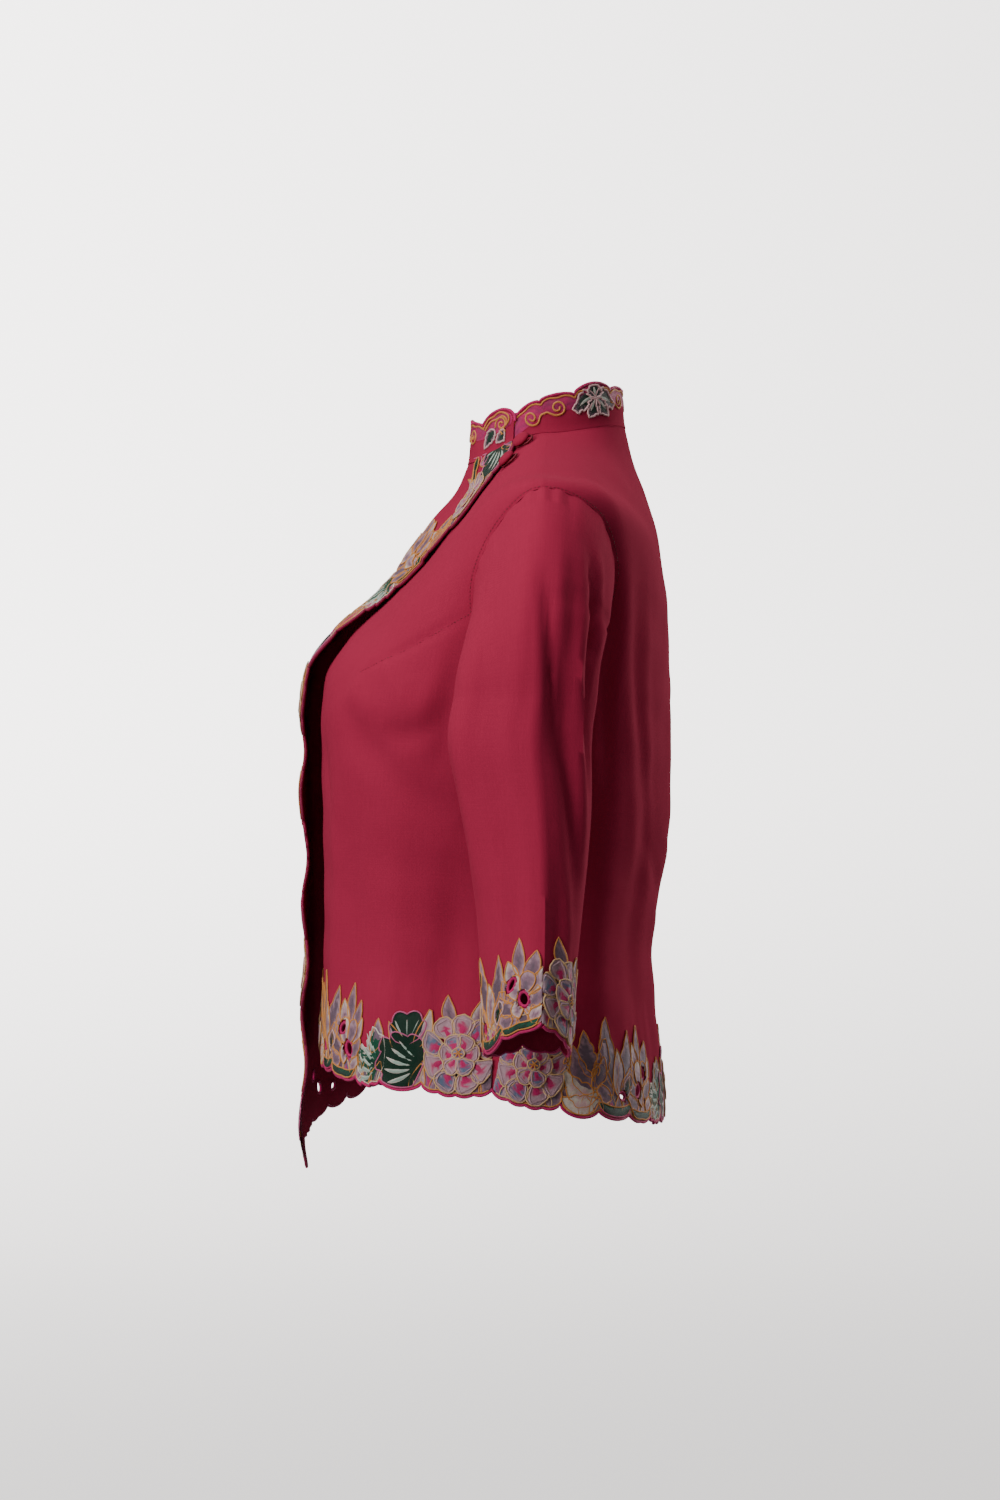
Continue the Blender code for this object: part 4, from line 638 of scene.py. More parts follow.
# The scalloped border: width of a motif, drop of its scallop, lobes, lobe depth, toothed, and cutwork holes
border = {
    "motifs": {
        "lily": (0.040, 0.0050, 2, 0.0010, False, ((0.40, 0.0185, 0.0058, 0.0043, 60.0),
                                                     (0.70, 0.0325, 0.0050, 0.0036, -55.0))),
        "serratedLeaf": (0.030, 0.0040, 3, 0.0028, True, ()),
        "fanLeaf": (0.036, 0.0065, 1, 0.0000, False, ()),
        "peony": (0.056, 0.0065, 4, 0.0016, False, ()),
        "paleLeaf": (0.034, 0.0075, 1, 0.0000, False, ()),
        "crescent": (0.036, 0.0055, 1, 0.0000, False, ((0.74, 0.0130, 0.0040, 0.0034, -15.0),)),
        "scroll": (0.028, 0.0030, 1, 0.0000, False, ()),
    },
    "hem": ("lily", "serratedLeaf", "fanLeaf", "peony", "paleLeaf", "crescent"),
    "cuff": ("lily", "crescent", "peony", "lily", "fanLeaf", "peony"),
    "lap": ("scroll", "serratedLeaf", "lily", "scroll", "peony", "fanLeaf"),
    "collar": ("scroll", "scroll", "scroll", "scroll", "fanLeaf"),
    "leftHem": ((-14.0, 0.472), (10.0, 0.473), (32.0, 0.477), (50.0, 0.482), (70.0, 0.485), (90.0, 0.489)),
    "backHem": ((90.0, 0.489), (115.0, 0.505), (140.0, 0.515), (180.0, 0.519), (220.0, 0.515), (245.0, 0.505),
                (270.0, 0.489)),
    "rightHem": ((-90.0, 0.489), (-64.0, 0.500), (-40.0, 0.515), (-20.0, 0.526), (-6.0, 0.538), (6.0, 0.563)),
    "lapEdge": (
        (0.0660, -0.004), (0.0730, -0.020), (0.0790, -0.034), (0.0800, -0.047), (0.0740, -0.060),
        (0.0630, -0.074), (0.0540, -0.089), (0.0490, -0.105), (0.0460, -0.120), (0.0430, -0.138),
        (0.0370, -0.160), (0.0310, -0.190), (0.0275, -0.230), (0.0260, -0.300), (0.0260, -0.380),
        (0.0250, -0.460), (0.0230, -0.520), (0.0180, -0.563),
    ),
    "edgeSpacing": 0.0013, "solidSpacing": 0.0058,
}


class Ribbon:
    # A decorated edge: places along it, and above it into the cloth, which lies towards the place inside or,
    # where that is None, at smaller distances all along. An upright one measures straight along the cloth
    # instead of square to the edge
    def __init__(self, net, flat, inside, upright=False, step=0.002):
        self.net = net
        flat = np.asarray(flat, float)
        points = net.at(flat[:, 0], flat[:, 1])
        run = np.concatenate([[0], np.cumsum(np.linalg.norm(np.diff(points, axis=0), axis=1))])
        self.length = run[-1]
        self.at = np.linspace(0, self.length, max(8, int(self.length / step)))
        self.flat = np.stack([curveThrough(run, flat[:, k], self.at) for k in (0, 1)], axis=1)
        a, l = self.flat[:, 0], self.flat[:, 1]
        along = np.gradient(net.at(a, l), self.at, axis=0)
        along /= np.linalg.norm(along, axis=1, keepdims=True)
        byA = (net.at(a + 1.5, l) - net.at(a - 1.5, l)) / (3.0 * net.perDegree)
        byL = (net.at(a, l + 0.003) - net.at(a, l - 0.003)) / 0.006
        self.inward = np.zeros_like(self.flat)
        turned = 0.0
        for k in range(len(a)):
            side = np.cross(np.cross(byA[k], byL[k]), along[k])
            side /= np.linalg.norm(side)
            move = np.linalg.lstsq(np.stack([byA[k], byL[k]], axis=1), side, rcond=None)[0]
            toward = np.array([0.0, -1.0])
            if inside is not None:
                toward = (np.asarray(inside) - self.flat[k]) * net.scale
            sign = 1.0 if move @ toward > 0 else -1.0
            self.inward[k] = move / net.scale * sign
            turned += np.cross(along[k], side * sign) @ net.read(net.normals, a[k], l[k])
        self.flipped = turned < 0
        if upright:
            self.inward = np.stack([0 * a, -1.0 / np.linalg.norm(byL, axis=1)], axis=1)
        self.margin = 0.0008

    def place(self, at, above):
        flat = np.stack([np.interp(at, self.at, self.flat[:, k]) for k in (0, 1)], axis=-1)
        inward = np.stack([np.interp(at, self.at, self.inward[:, k]) for k in (0, 1)], axis=-1)
        return flat + inward * np.asarray(above)[..., None]


def layBorder(length, repeat, start=0):
    names, total, k = [], 0.0, start
    while total < length:
        names.append(repeat[k % len(repeat)])
        total += border["motifs"][names[-1]][0]
        k += 1
    if total - length > border["motifs"][names[-1]][0] / 2 and len(names) > 1:
        total -= border["motifs"][names.pop()][0]
    ease = length / total
    laid, at = [], 0.0
    for name in names:
        width = border["motifs"][name][0] * ease
        laid.append((name, at, width))
        at += width
    return laid


def scallop(name, share):
    _, drop, lobes, lobe, toothed, _ = border["motifs"][name]
    arch = drop * np.sin(np.pi * share) ** 0.55
    if lobes < 2:
        return arch
    phase = (share * lobes) % 1.0
    if toothed:
        return arch + lobe * (1 - phase) * np.minimum(1.0, 12 * share)
    return arch + lobe * np.sin(np.pi * phase)


def borderEdge(ribbon, laid, spacing, holeSides=8):
    # Cut edge as flat points, its cutwork holes, and each hole as place, half sizes and tilt
    edge, holes, cuts = [], [], []
    for name, start, width in laid:
        _, _, lobes, _, toothed, holeRows = border["motifs"][name]
        count = max(3, round(width / max(lobes, 1) / spacing))
        share = np.linspace(0, 1, count * max(lobes, 1), endpoint=False)
        if toothed:
            ends = (np.arange(lobes) + 0.97) / lobes
            share = np.sort(np.concatenate([share if spacing < 0.003 else np.arange(lobes) / lobes, ends]))
        edge += list(ribbon.place(start + share * width, -scallop(name, share)))
        for along, above, halfLong, halfHigh, tilt in holeRows:
            turn = np.linspace(0, 2 * np.pi, holeSides, endpoint=False)
            lean = math.radians(tilt)
            x, y = halfLong * np.cos(turn), halfHigh * np.sin(turn)
            at = start + along * width + x * math.cos(lean) - y * math.sin(lean)
            up = above + x * math.sin(lean) + y * math.cos(lean)
            if 0.012 < start + along * width < ribbon.length - 0.012:
                holes.append(ribbon.place(at, up))
                cuts.append((start + along * width, above, halfLong, halfHigh, lean))
    return edge, holes, cuts


def insideOf(loop, points):
    x, y = points[:, 0], points[:, 1]
    within = np.zeros(len(points), bool)
    for (x0, y0), (x1, y1) in zip(loop, np.roll(loop, -1, axis=0)):
        if y0 == y1:
            continue
        crosses = (y0 > y) != (y1 > y)
        within ^= crosses & (x < (x1 - x0) * (y - y0) / (y1 - y0) + x0)
    return within


# Cloth shells: wall, spacing of the points near an edge, the band that takes them all, and the sharpest
# turn that is still smooth
shell = {"wall": 0.0008, "closeSpacing": 0.0023, "closeBand": 0.0075, "smoothTurn": 50.0}


def cutCloth(outline, holes):
    loops = [np.asarray(outline)] + [np.asarray(hole) for hole in holes]
    low, high = loops[0].min(axis=0), loops[0].max(axis=0)
    close = shell["closeSpacing"]
    x, y = np.meshgrid(np.arange(low[0], high[0], close), np.arange(low[1], high[1], close), indexing="ij")
    index = np.indices(x.shape)
    wide = ((index[0] % 2 == 0) & (index[1] % 2 == 0)).ravel()
    net = np.stack([x.ravel(), y.ravel()], axis=1)
    keep = insideOf(loops[0], net)
    net, wide = net[keep], wide[keep]
    far = distanceTo(loops[0], net)
    keep = far > 0.45 * close
    for loop in loops[1:]:
        gap = distanceTo(loop, net)
        keep &= (gap > 0.45 * close) & ~insideOf(loop, net)
        far = np.minimum(far, gap)
    net = net[keep & (wide | (far < shell["closeBand"]))]
    points, edges = [], []
    for loop in loops:
        first = len(points)
        points += [Vector(p) for p in loop]
        edges += [(first + k, first + (k + 1) % len(loop)) for k in range(len(loop))]
    points += [Vector(p) for p in net]
    made = delaunay_2d_cdt(points, edges, [], 0, 1e-7)
    flat = np.array([tuple(p) for p in made[0]])
    faces = np.array([face for face in made[2] if len(face) == 3])
    middle = flat[faces].mean(axis=1)
    keep = insideOf(loops[0], middle)
    for loop in loops[1:]:
        keep &= ~insideOf(loop, middle)
    return flat, faces[keep]


def newMesh(name, points, faces, edges=()):
    mesh = bpy.data.meshes.new(name)
    mesh.from_pydata(np.asarray(points).tolist(), list(edges), [tuple(int(v) for v in f) for f in faces])
    return mesh


def newPiece(name, mesh, finish=None):
    made = bpy.data.objects.new(name, mesh)
    if finish is not None:
        mesh.materials.clear()
        mesh.materials.append(finish)
    bpy.context.scene.collection.objects.link(made)
    return made


def clothPiece(name, net, outline, holes, finish):
    # One cut piece laid on its net, with its wall grown inwards and its plan kept as a map in metres
    flat, faces = cutCloth(outline, holes)
    a, l = flat[:, 0] / net.perDegree, flat[:, 1]
    points = net.at(a, l)
    corners = points[faces]
    shown = np.cross(corners[:, 1] - corners[:, 0], corners[:, 2] - corners[:, 0])
    if (shown * net.read(net.normals, a[faces[:, 0]], l[faces[:, 0]])).sum() < 0:
        faces = faces[:, ::-1]
    inner = net.at(a, l, -shell["wall"])
    count = len(points)
    directed = {(int(p), int(q)) for face in faces for p, q in zip(face, np.roll(face, -1))}
    rim = sorted((p, q) for p, q in directed if (q, p) not in directed)
    skin = faces.tolist() + (faces[:, ::-1] + count).tolist() + [(q, p, p + count, q + count) for p, q in rim]
    mesh = newMesh(name, np.concatenate([points, inner]), skin)
    plan = mesh.uv_layers.new(name="clothPlan")
    loops = np.zeros(len(mesh.loops), np.int32)
    mesh.loops.foreach_get("vertex_index", loops)
    both = np.concatenate([flat, flat])
    plan.data.foreach_set("uv", both[loops].astype(np.float32).ravel())
    mesh.shade_smooth()
    mesh.set_sharp_from_angle(angle=math.radians(shell["smoothTurn"]))
    piece = newPiece(name, mesh, finish)
    rows = net.at(np.linspace(a.min(), a.max(), 90)[:, None], np.linspace(l.min(), l.max(), 40)[None, :])
    return piece


def straight(start, end, spacing):
    start, end = np.asarray(start, float), np.asarray(end, float)
    count = max(1, round(np.linalg.norm(end - start) / spacing))
    return [start + (end - start) * k / count for k in range(count)]


def hemFlat(rows, count=60):
    rows = np.asarray(rows, float)
    at = np.linspace(rows[0, 0], rows[-1, 0], count)
    return np.stack([at, curveThrough(rows[:, 0], rows[:, 1], at)], axis=1)


def armholePart(fromFront):
    # Armhole from the shoulder seam to the side seam under the arm, down its front or its back
    count, seam = len(armholeRing), bodyForm["sideSeam"] * bodyForm["perDegree"]
    past = next(k for k in range(count // 4, count) if armholeRing[k, 0] > seam)
    before, after = armholeRing[past - 1], armholeRing[past]
    under = np.array([seam, np.interp(seam, [before[0], after[0]], [before[1], after[1]])])
    rows = range(1, past) if fromFront else range(count - 1, past, -1)
    part = [armholeRing[k] for k in rows if abs(armholeRing[k, 0] - seam) > 0.0004]
    return [np.array([seam, armholeRing[0, 1]])] + part + [under]


# Nodes, groups and materials
def newGroup(name, kind, inputs, outputs):
    # A node group and its sockets: name and kind, then start value, least and most where it has them
    tree = bpy.data.node_groups.new(name, kind)
    for direction, rows in (("INPUT", inputs), ("OUTPUT", outputs)):
        for label, socketKind, *values in rows:
            socket = tree.interface.new_socket(label, in_out=direction, socket_type="NodeSocket" + socketKind)
            if values:
                socket.default_value = values[0]
            if len(values) > 1:
                socket.min_value, socket.max_value = values[1:]
    return tree, tree.nodes.new("NodeGroupInput"), tree.nodes.new("NodeGroupOutput")


def newNoise(tree, place, scale, detail):
    noise = tree.nodes.new("ShaderNodeTexNoise")
    noise.inputs["Scale"].default_value = scale
    noise.inputs["Detail"].default_value = detail
    tree.links.new(place, noise.inputs["Vector"])
    return noise.outputs["Fac"]


def newBump(tree, height, distance, strength):
    bump = tree.nodes.new("ShaderNodeBump")
    bump.inputs["Distance"].default_value = distance
    bump.inputs["Strength"].default_value = strength
    tree.links.new(height, bump.inputs["Height"])
    return bump


def mixColour(tree, share, first, second):
    node = tree.nodes.new("ShaderNodeMix")
    node.data_type = "RGBA"
    for socket, value in ((node.inputs["Factor"], share), (node.inputs[6], first), (node.inputs[7], second)):
        if isinstance(value, tuple):
            socket.default_value = (*value, 1.0)
        elif isinstance(value, (int, float)):
            socket.default_value = value
        else:
            tree.links.new(value, socket)
    return node.outputs[2]


def buildWeaveGroup():
    # Plain weave and its slubs, from a plan in metres
    tree, given, put = newGroup("plainWeave", "ShaderNodeTree",
                                (("Plan", "Vector"), ("Thread pitch", "Float", 0.0005)),
                                (("Height", "Float"), ("Slub", "Float"), ("Cloud", "Float")))
    split = tree.nodes.new("ShaderNodeSeparateXYZ")
    tree.links.new(given.outputs["Plan"], split.inputs[0])
    turns = mathNode(tree, "DIVIDE", math.pi, given.outputs["Thread pitch"])
    warp = mathNode(tree, "MULTIPLY", split.outputs[0], turns)
    weft = mathNode(tree, "MULTIPLY", split.outputs[1], turns)
    over = mathNode(tree, "MULTIPLY", mathNode(tree, "SINE", warp), mathNode(tree, "SINE", weft))
    crowns = mathNode(tree, "ADD", mathNode(tree, "ABSOLUTE", mathNode(tree, "SINE", warp)),
                      mathNode(tree, "ABSOLUTE", mathNode(tree, "SINE", weft)))
    height = mathNode(tree, "MULTIPLY_ADD", over, 0.5, mathNode(tree, "MULTIPLY", crowns, 0.25))
    tree.links.new(height, put.inputs["Height"])
    slubs = []
    for scale in ((1500.0, 45.0, 1.0), (40.0, 1300.0, 1.0)):
        stretch = tree.nodes.new("ShaderNodeMapping")
        stretch.inputs["Scale"].default_value = scale
        tree.links.new(given.outputs["Plan"], stretch.inputs["Vector"])
        slubs.append(newNoise(tree, stretch.outputs[0], 1.0, 2.0))
    slub = mathNode(tree, "MULTIPLY_ADD", slubs[0], 0.6, mathNode(tree, "MULTIPLY", slubs[1], 0.4))
    tree.links.new(slub, put.inputs["Slub"])
    tree.links.new(newNoise(tree, given.outputs["Plan"], 14.0, 3.0), put.inputs["Cloud"])
    return tree


def buildThreadGroup():
    # Satin stitches lying side by side, from the place along them. Shade is high on the thread crowns and low
    # in the grooves between them, mixed with random tone, and darkens the grooves as painted shade
    tree, given, put = newGroup("satinThreads", "ShaderNodeTree",
                                (("Run", "Float"), ("Place", "Vector"), ("Thread width", "Float", 0.0004)),
                                (("Height", "Float"), ("Shade", "Float")))
    noise = newNoise(tree, given.outputs["Place"], 900.0, 1.0)
    stray = mathNode(tree, "MULTIPLY", mathNode(tree, "SUBTRACT", noise, 0.5), 2.2)
    turns = mathNode(tree, "DIVIDE", given.outputs["Run"], given.outputs["Thread width"])
    phase = mathNode(tree, "MULTIPLY_ADD", turns, math.pi, stray)
    crown = mathNode(tree, "ABSOLUTE", mathNode(tree, "SINE", phase))
    tree.links.new(crown, put.inputs["Height"])
    shade = mathNode(tree, "MULTIPLY_ADD", noise, 0.6, mathNode(tree, "MULTIPLY", crown, 0.4))
    tree.links.new(shade, put.inputs["Shade"])
    return tree


finishes = {
    "crimson": (0.350, 0.0222, 0.0605), "crimsonDeep": (0.266, 0.0142, 0.0420), "threadPitch": 0.00055,
    "clothSheen": 0.03, "clothSheenRoughness": 0.45, "clothSheenTint": (1.0, 0.30, 0.38),
    "clothRoughness": 0.92, "clothSpecular": 0.04, "threadWidth": 0.00045,
    # how far slubs and clouds darken the cloth, what is taken off again, and how slubs roughen it
    "slubShade": 0.9, "cloudShade": 0.35, "shadeOff": 0.30, "slubRoughness": 0.10,
    # the thread's sheen roughness and specular, and the grey-mauve painted into its grooves as painted shade
    "threadSheenRoughness": 0.35, "threadSpecular": 0.30, "paintedGrooveShade": (0.35, 0.30, 0.32, 1.0),
    # height of each bump in metres, and its strength
    "slubBump": (0.0004, 0.35), "weaveBump": (0.00012, 0.5), "threadBump": (0.0002, 0.7),
}


def clothFinish(name, paintedShade=0.0):
    made = bpy.data.materials.new(name)
    made.use_nodes = True
    tree = made.node_tree
    shader = tree.nodes["Principled BSDF"]
    place = tree.nodes.new("ShaderNodeUVMap")
    place.uv_map = "clothPlan"
    weave = tree.nodes.new("ShaderNodeGroup")
    weave.node_tree = weaveGroup
    weave.inputs["Thread pitch"].default_value = finishes["threadPitch"]
    tree.links.new(place.outputs[0], weave.inputs["Plan"])
    # this share pushes the cloth towards deep crimson as painted shade, giving a shaded copy of the same
    # cloth
    share = mathNode(tree, "MULTIPLY_ADD", weave.outputs["Slub"], finishes["slubShade"], paintedShade)
    share = mathNode(tree, "MULTIPLY_ADD", weave.outputs["Cloud"], finishes["cloudShade"], share)
    share = mathNode(tree, "SUBTRACT", share, finishes["shadeOff"])
    colour = mixColour(tree, share, finishes["crimson"], finishes["crimsonDeep"])
    tree.links.new(colour, shader.inputs["Base Color"])
    spread = finishes["slubRoughness"]
    smoothest = finishes["clothRoughness"] - spread / 2
    rough = mathNode(tree, "MULTIPLY_ADD", weave.outputs["Slub"], spread, smoothest)
    tree.links.new(rough, shader.inputs["Roughness"])
    shader.inputs["Sheen Weight"].default_value = finishes["clothSheen"]
    shader.inputs["Sheen Roughness"].default_value = finishes["clothSheenRoughness"]
    shader.inputs["Sheen Tint"].default_value = (*finishes["clothSheenTint"], 1.0)
    shader.inputs["Specular IOR Level"].default_value = finishes["clothSpecular"]
    slubs = newBump(tree, weave.outputs["Slub"], *finishes["slubBump"])
    fine = newBump(tree, weave.outputs["Height"], *finishes["weaveBump"])
    tree.links.new(slubs.outputs[0], fine.inputs["Normal"])
    tree.links.new(fine.outputs[0], shader.inputs["Normal"])
    return made


def threadFinish(name, roughness, sheen, paintedGrooveShadeDepth):
    # Embroidery thread, coloured by each stitch's own tint, with painted shade in the grooves between the
    # threads
    made = bpy.data.materials.new(name)
    made.use_nodes = True
    tree = made.node_tree
    shader = tree.nodes["Principled BSDF"]
    tint = tree.nodes.new("ShaderNodeAttribute")
    tint.attribute_name = "tint"
    run = tree.nodes.new("ShaderNodeAttribute")
    run.attribute_name = "run"
    place = tree.nodes.new("ShaderNodeTexCoord")
    thread = tree.nodes.new("ShaderNodeGroup")
    thread.node_tree = threadGroup
    thread.inputs["Thread width"].default_value = finishes["threadWidth"]
    tree.links.new(run.outputs["Fac"], thread.inputs["Run"])
    tree.links.new(place.outputs["Object"], thread.inputs["Place"])
    # painted shade: the grooves between thread crowns are darkened towards grey-mauve; the noise in Shade is
    # random tone
    dark = tree.nodes.new("ShaderNodeMix")
    dark.data_type = "RGBA"
    dark.blend_type = "MULTIPLY"
    unlit = mathNode(tree, "SUBTRACT", 1.0, thread.outputs["Shade"])
    tree.links.new(mathNode(tree, "MULTIPLY", unlit, paintedGrooveShadeDepth), dark.inputs["Factor"])
    tree.links.new(tint.outputs["Color"], dark.inputs[6])
    dark.inputs[7].default_value = finishes["paintedGrooveShade"]
    tree.links.new(dark.outputs[2], shader.inputs["Base Color"])
    rough = mathNode(tree, "MULTIPLY_ADD", thread.outputs["Shade"], -0.12, roughness + 0.06)
    tree.links.new(rough, shader.inputs["Roughness"])
    shader.inputs["Sheen Weight"].default_value = sheen
    shader.inputs["Sheen Roughness"].default_value = finishes["threadSheenRoughness"]
    shader.inputs["Specular IOR Level"].default_value = finishes["threadSpecular"]
    bump = newBump(tree, thread.outputs["Height"], *finishes["threadBump"])
    tree.links.new(bump.outputs[0], shader.inputs["Normal"])
    return made


weaveGroup = buildWeaveGroup()
threadGroup = buildThreadGroup()
clothMaterial = clothFinish("crimsonCotton")
# The collar is the same cloth painted a little darker, as painted shade
collarMaterial = clothFinish("crimsonCottonCollarPaintedShade", 0.02)
# The buttons are the same cloth painted darker, as painted shade
buttonMaterial = clothFinish("crimsonCoveredButtonPaintedShade", 0.20)
satinMaterial = threadFinish("satinStitch", 0.50, 0.06, 0.75)
cordMaterial = threadFinish("outlineThread", 0.44, 0.05, 0.50)
print("materials ready")


# Spacing of the points along each kind of plain edge, and the number of points round a hole and along an edge
cutting = {
    "neck": 0.003, "side": 0.004, "under": 0.0035, "end": 0.002, "cap": 0.0025,
    "holePoints": 22, "collarPoints": 160, "cuffPoints": 50,
    # the hidden edge of the left front below the neck: height and distance from the middle
    "underEdge": ((-0.030, 0.004), (-0.070, -0.012), (-0.120, -0.025)),
    "underEnds": (-0.200, -0.330, -0.470),
}


def cutPieces():
    per, seam = bodyForm["perDegree"], bodyForm["sideSeam"]
    scale, step = bodyScale, cutting
    neck = bodyForm["neckLevel"]
    borders = []

    def decorate(name, ribbon, laid, kind):
        edge, holes, cuts = borderEdge(ribbon, laid, border["edgeSpacing"], cutting["holePoints"])
        if kind == "lap":
            holes, cuts = [], []
        borders.append({"piece": name, "ribbon": ribbon, "laid": laid, "kind": kind, "cuts": cuts,
                        "edge": np.array(edge), "holes": holes})
        return [p * ribbon.net.scale for p in edge], [h * ribbon.net.scale for h in holes]

    # Back
    left = armholePart(False)
    right = [np.array([360.0 * per - p[0], p[1]]) for p in left][::-1]
    neckLeft, neckRight = np.array([seam * per, neck]), np.array([270.0 * per, neck])
    ribbon = Ribbon(bodyNet, hemFlat(border["backHem"]), (180.0, 0.40))
    hem, holes = decorate("back", ribbon, layBorder(ribbon.length, border["hem"], 3), "hem")
    hem[0] = np.array([seam * per, hem[0][1]])
    hem.append(np.array([270.0 * per, border["backHem"][-1][1]]))
    outline = straight(neckRight, neckLeft, step["neck"]) + straight(neckLeft, left[0], step["neck"]) + left
    outline += straight(left[-1], hem[0], step["side"])[1:] + hem
    outline += straight(hem[-1], right[0], step["side"])[1:] + right
    outline += straight(right[-1], neckRight, step["neck"])[1:]
    backCloth = clothPiece("backCloth", bodyNet, outline, holes, clothMaterial)

    # Left front, under the lap
    armhole = armholePart(True)
    rows = [np.array([bodyForm["collarUnder"], neck])]
    for z, x in cutting["underEdge"] + tuple((z, bodyForm["underEdge"]) for z in cutting["underEnds"]):
        rows.append(onBody(0, x, 2, z, math.degrees(x / 0.15), max(-0.03, -z - 0.02)))
    corner = rows[-1]
    hemRows = ((corner[0], corner[1]),) + border["leftHem"][1:]
    ribbon = Ribbon(bodyNet, hemFlat(hemRows)[::-1], (45.0, 0.40))
    laid = layBorder(ribbon.length, border["hem"], 3)
    laid = [(name, ribbon.length - start - width, width) for name, start, width in laid][::-1]
    hem, holes = decorate("leftFront", ribbon, laid, "hem")
    hem[0] = np.array([seam * per, hem[0][1]])
    front = [p * scale for p in rows][::-1]
    sideNeck = np.array([seam * per, neck])
    outline = straight(front[-1], sideNeck, step["neck"])
    outline += straight(sideNeck, armhole[0], step["neck"]) + armhole
    outline += straight(armhole[-1], hem[0], step["side"])[1:] + hem
    for start, end in zip(front[:-1], front[1:]):
        outline += straight(start, end, step["under"])
    leftFrontCloth = clothPiece("leftFrontCloth", bodyNet, outline, holes, clothMaterial)

    # Right front, lapping over the left one
    armhole = [np.array([-p[0], p[1]]) for p in armhole]
    rows = [np.array([bodyForm["collarTab"], neck])]
    for x, z in border["lapEdge"]:
        rows.append(onBody(0, x, 2, z, math.degrees(math.atan2(x, 0.11)), max(-0.04, -z - 0.03)))
    tip = rows[-1]
    hemRibbon = Ribbon(lapNet, hemFlat(border["rightHem"][:-1] + ((tip[0], tip[1]),)), (-45.0, 0.40))
    hem, hemHoles = decorate("rightFront", hemRibbon, layBorder(hemRibbon.length, border["hem"], 1), "hem")
    lapRibbon = Ribbon(lapNet, np.array(rows)[::-1], (-45.0, 0.20))
    lapLaid = layBorder(lapRibbon.length, border["lap"], 0)
    lap, lapHoles = decorate("rightFront", lapRibbon, lapLaid, "lap")
    hem[0] = np.array([-seam * per, hem[0][1]])
    sideNeck = np.array([-seam * per, neck])
    lapTop = np.array([bodyForm["collarTab"] * per, neck])
    outline = hem + lap + straight(lapTop, sideNeck, step["neck"])
    outline += straight(sideNeck, armhole[0], step["neck"]) + armhole
    outline += straight(armhole[-1], hem[0], step["side"])[1:]
    rightFrontCloth = clothPiece("rightFrontCloth", lapNet, outline, hemHoles + lapHoles, clothMaterial)
    solidEdge = np.array(borderEdge(lapRibbon, lapLaid, border["solidSpacing"])[0])

    # Collar
    start, end = bodyForm["collarUnder"] - 360.0, bodyForm["collarTab"]
    angles = np.linspace(start, end, cutting["collarPoints"])
    ribbon = Ribbon(collarNet, np.stack([angles, collarHeight(angles)], axis=1), None)
    edge, _ = decorate("collar", ribbon, layBorder(ribbon.length, border["collar"]), "collar")
    wide = collarNet.perDegree
    last, base = np.array([end * wide, collarHeight(end)]), np.array([end * wide, 0.0])
    baseStart = np.array([start * wide, 0.0])
    outline = edge + [last] + straight(last, base, step["end"])[1:] + straight(base, baseStart, step["neck"])
    outline += straight(baseStart, edge[0], step["end"])
    standCollar = clothPiece("collarCloth", collarNet, outline, [], collarMaterial)

    # Sleeves: each one a tube, sewn under the arm
    sleeves = []
    cuffAlong = sleeveForm["cap"] + sleeveForm["capZ"] - sleeveForm["cuffZ"]

    def cuffRow(angles):
        arch = np.exp(-(np.abs(angles) / sleeveForm["cuffArchTurn"]) ** 3)
        return np.stack([angles, cuffAlong - sleeveForm["cuffArch"] * arch], axis=1)

    for side, net in (("left", leftSleeveNet), ("right", rightSleeveNet)):
        edge, holes = [], []
        for low, high, first in ((-180.0, 0.0, 3), (0.0, 180.0, 0)):
            ribbon = Ribbon(net, cuffRow(np.linspace(low, high, cutting["cuffPoints"])), None, True)
            ribbon.margin = 0.0001
            scallops = layBorder(ribbon.length, border["cuff"], first)
            half, cut = decorate(side + "Sleeve", ribbon, scallops, "cuff")
            edge += half
            holes += cut
        wide = net.perDegree
        edge.append(np.array([180.0 * wide, cuffAlong]))
        topRight, topLeft = np.array([180.0 * wide, 0.0]), np.array([-180.0 * wide, 0.0])
        outline = list(edge) + straight(edge[-1], topRight, step["side"])[1:]
        outline += straight(topRight, topLeft, step["cap"]) + straight(topLeft, edge[0], step["side"])
        sleeves.append(clothPiece(side + "SleeveCloth", net, outline, holes, clothMaterial))
    return [backCloth, leftFrontCloth, rightFrontCloth, standCollar] + sleeves, borders, solidEdge


clothPieces, borders, solidEdge = cutPieces()
print("cloth cut and laid")

# Dyes of the embroidery thread
threads = {
    "gold": dye(224, 150, 78), "creamGold": dye(226, 186, 138), "palePink": dye(232, 188, 188),
    "white": dye(236, 226, 214), "mauve": dye(146, 112, 130), "paleMauve": dye(198, 160, 172),
    "greyMauve": dye(118, 96, 112), "blueGrey": dye(104, 122, 152),
    "magenta": dye(206, 34, 108), "deepMagenta": dye(150, 26, 72), "roseMauve": dye(176, 44, 104),
    "pink": dye(214, 108, 152),
    "darkGreen": dye(0, 50, 32), "green": dye(4, 88, 62), "leafPale": dye(176, 204, 188),
    "cream": dye(232, 214, 196),
}
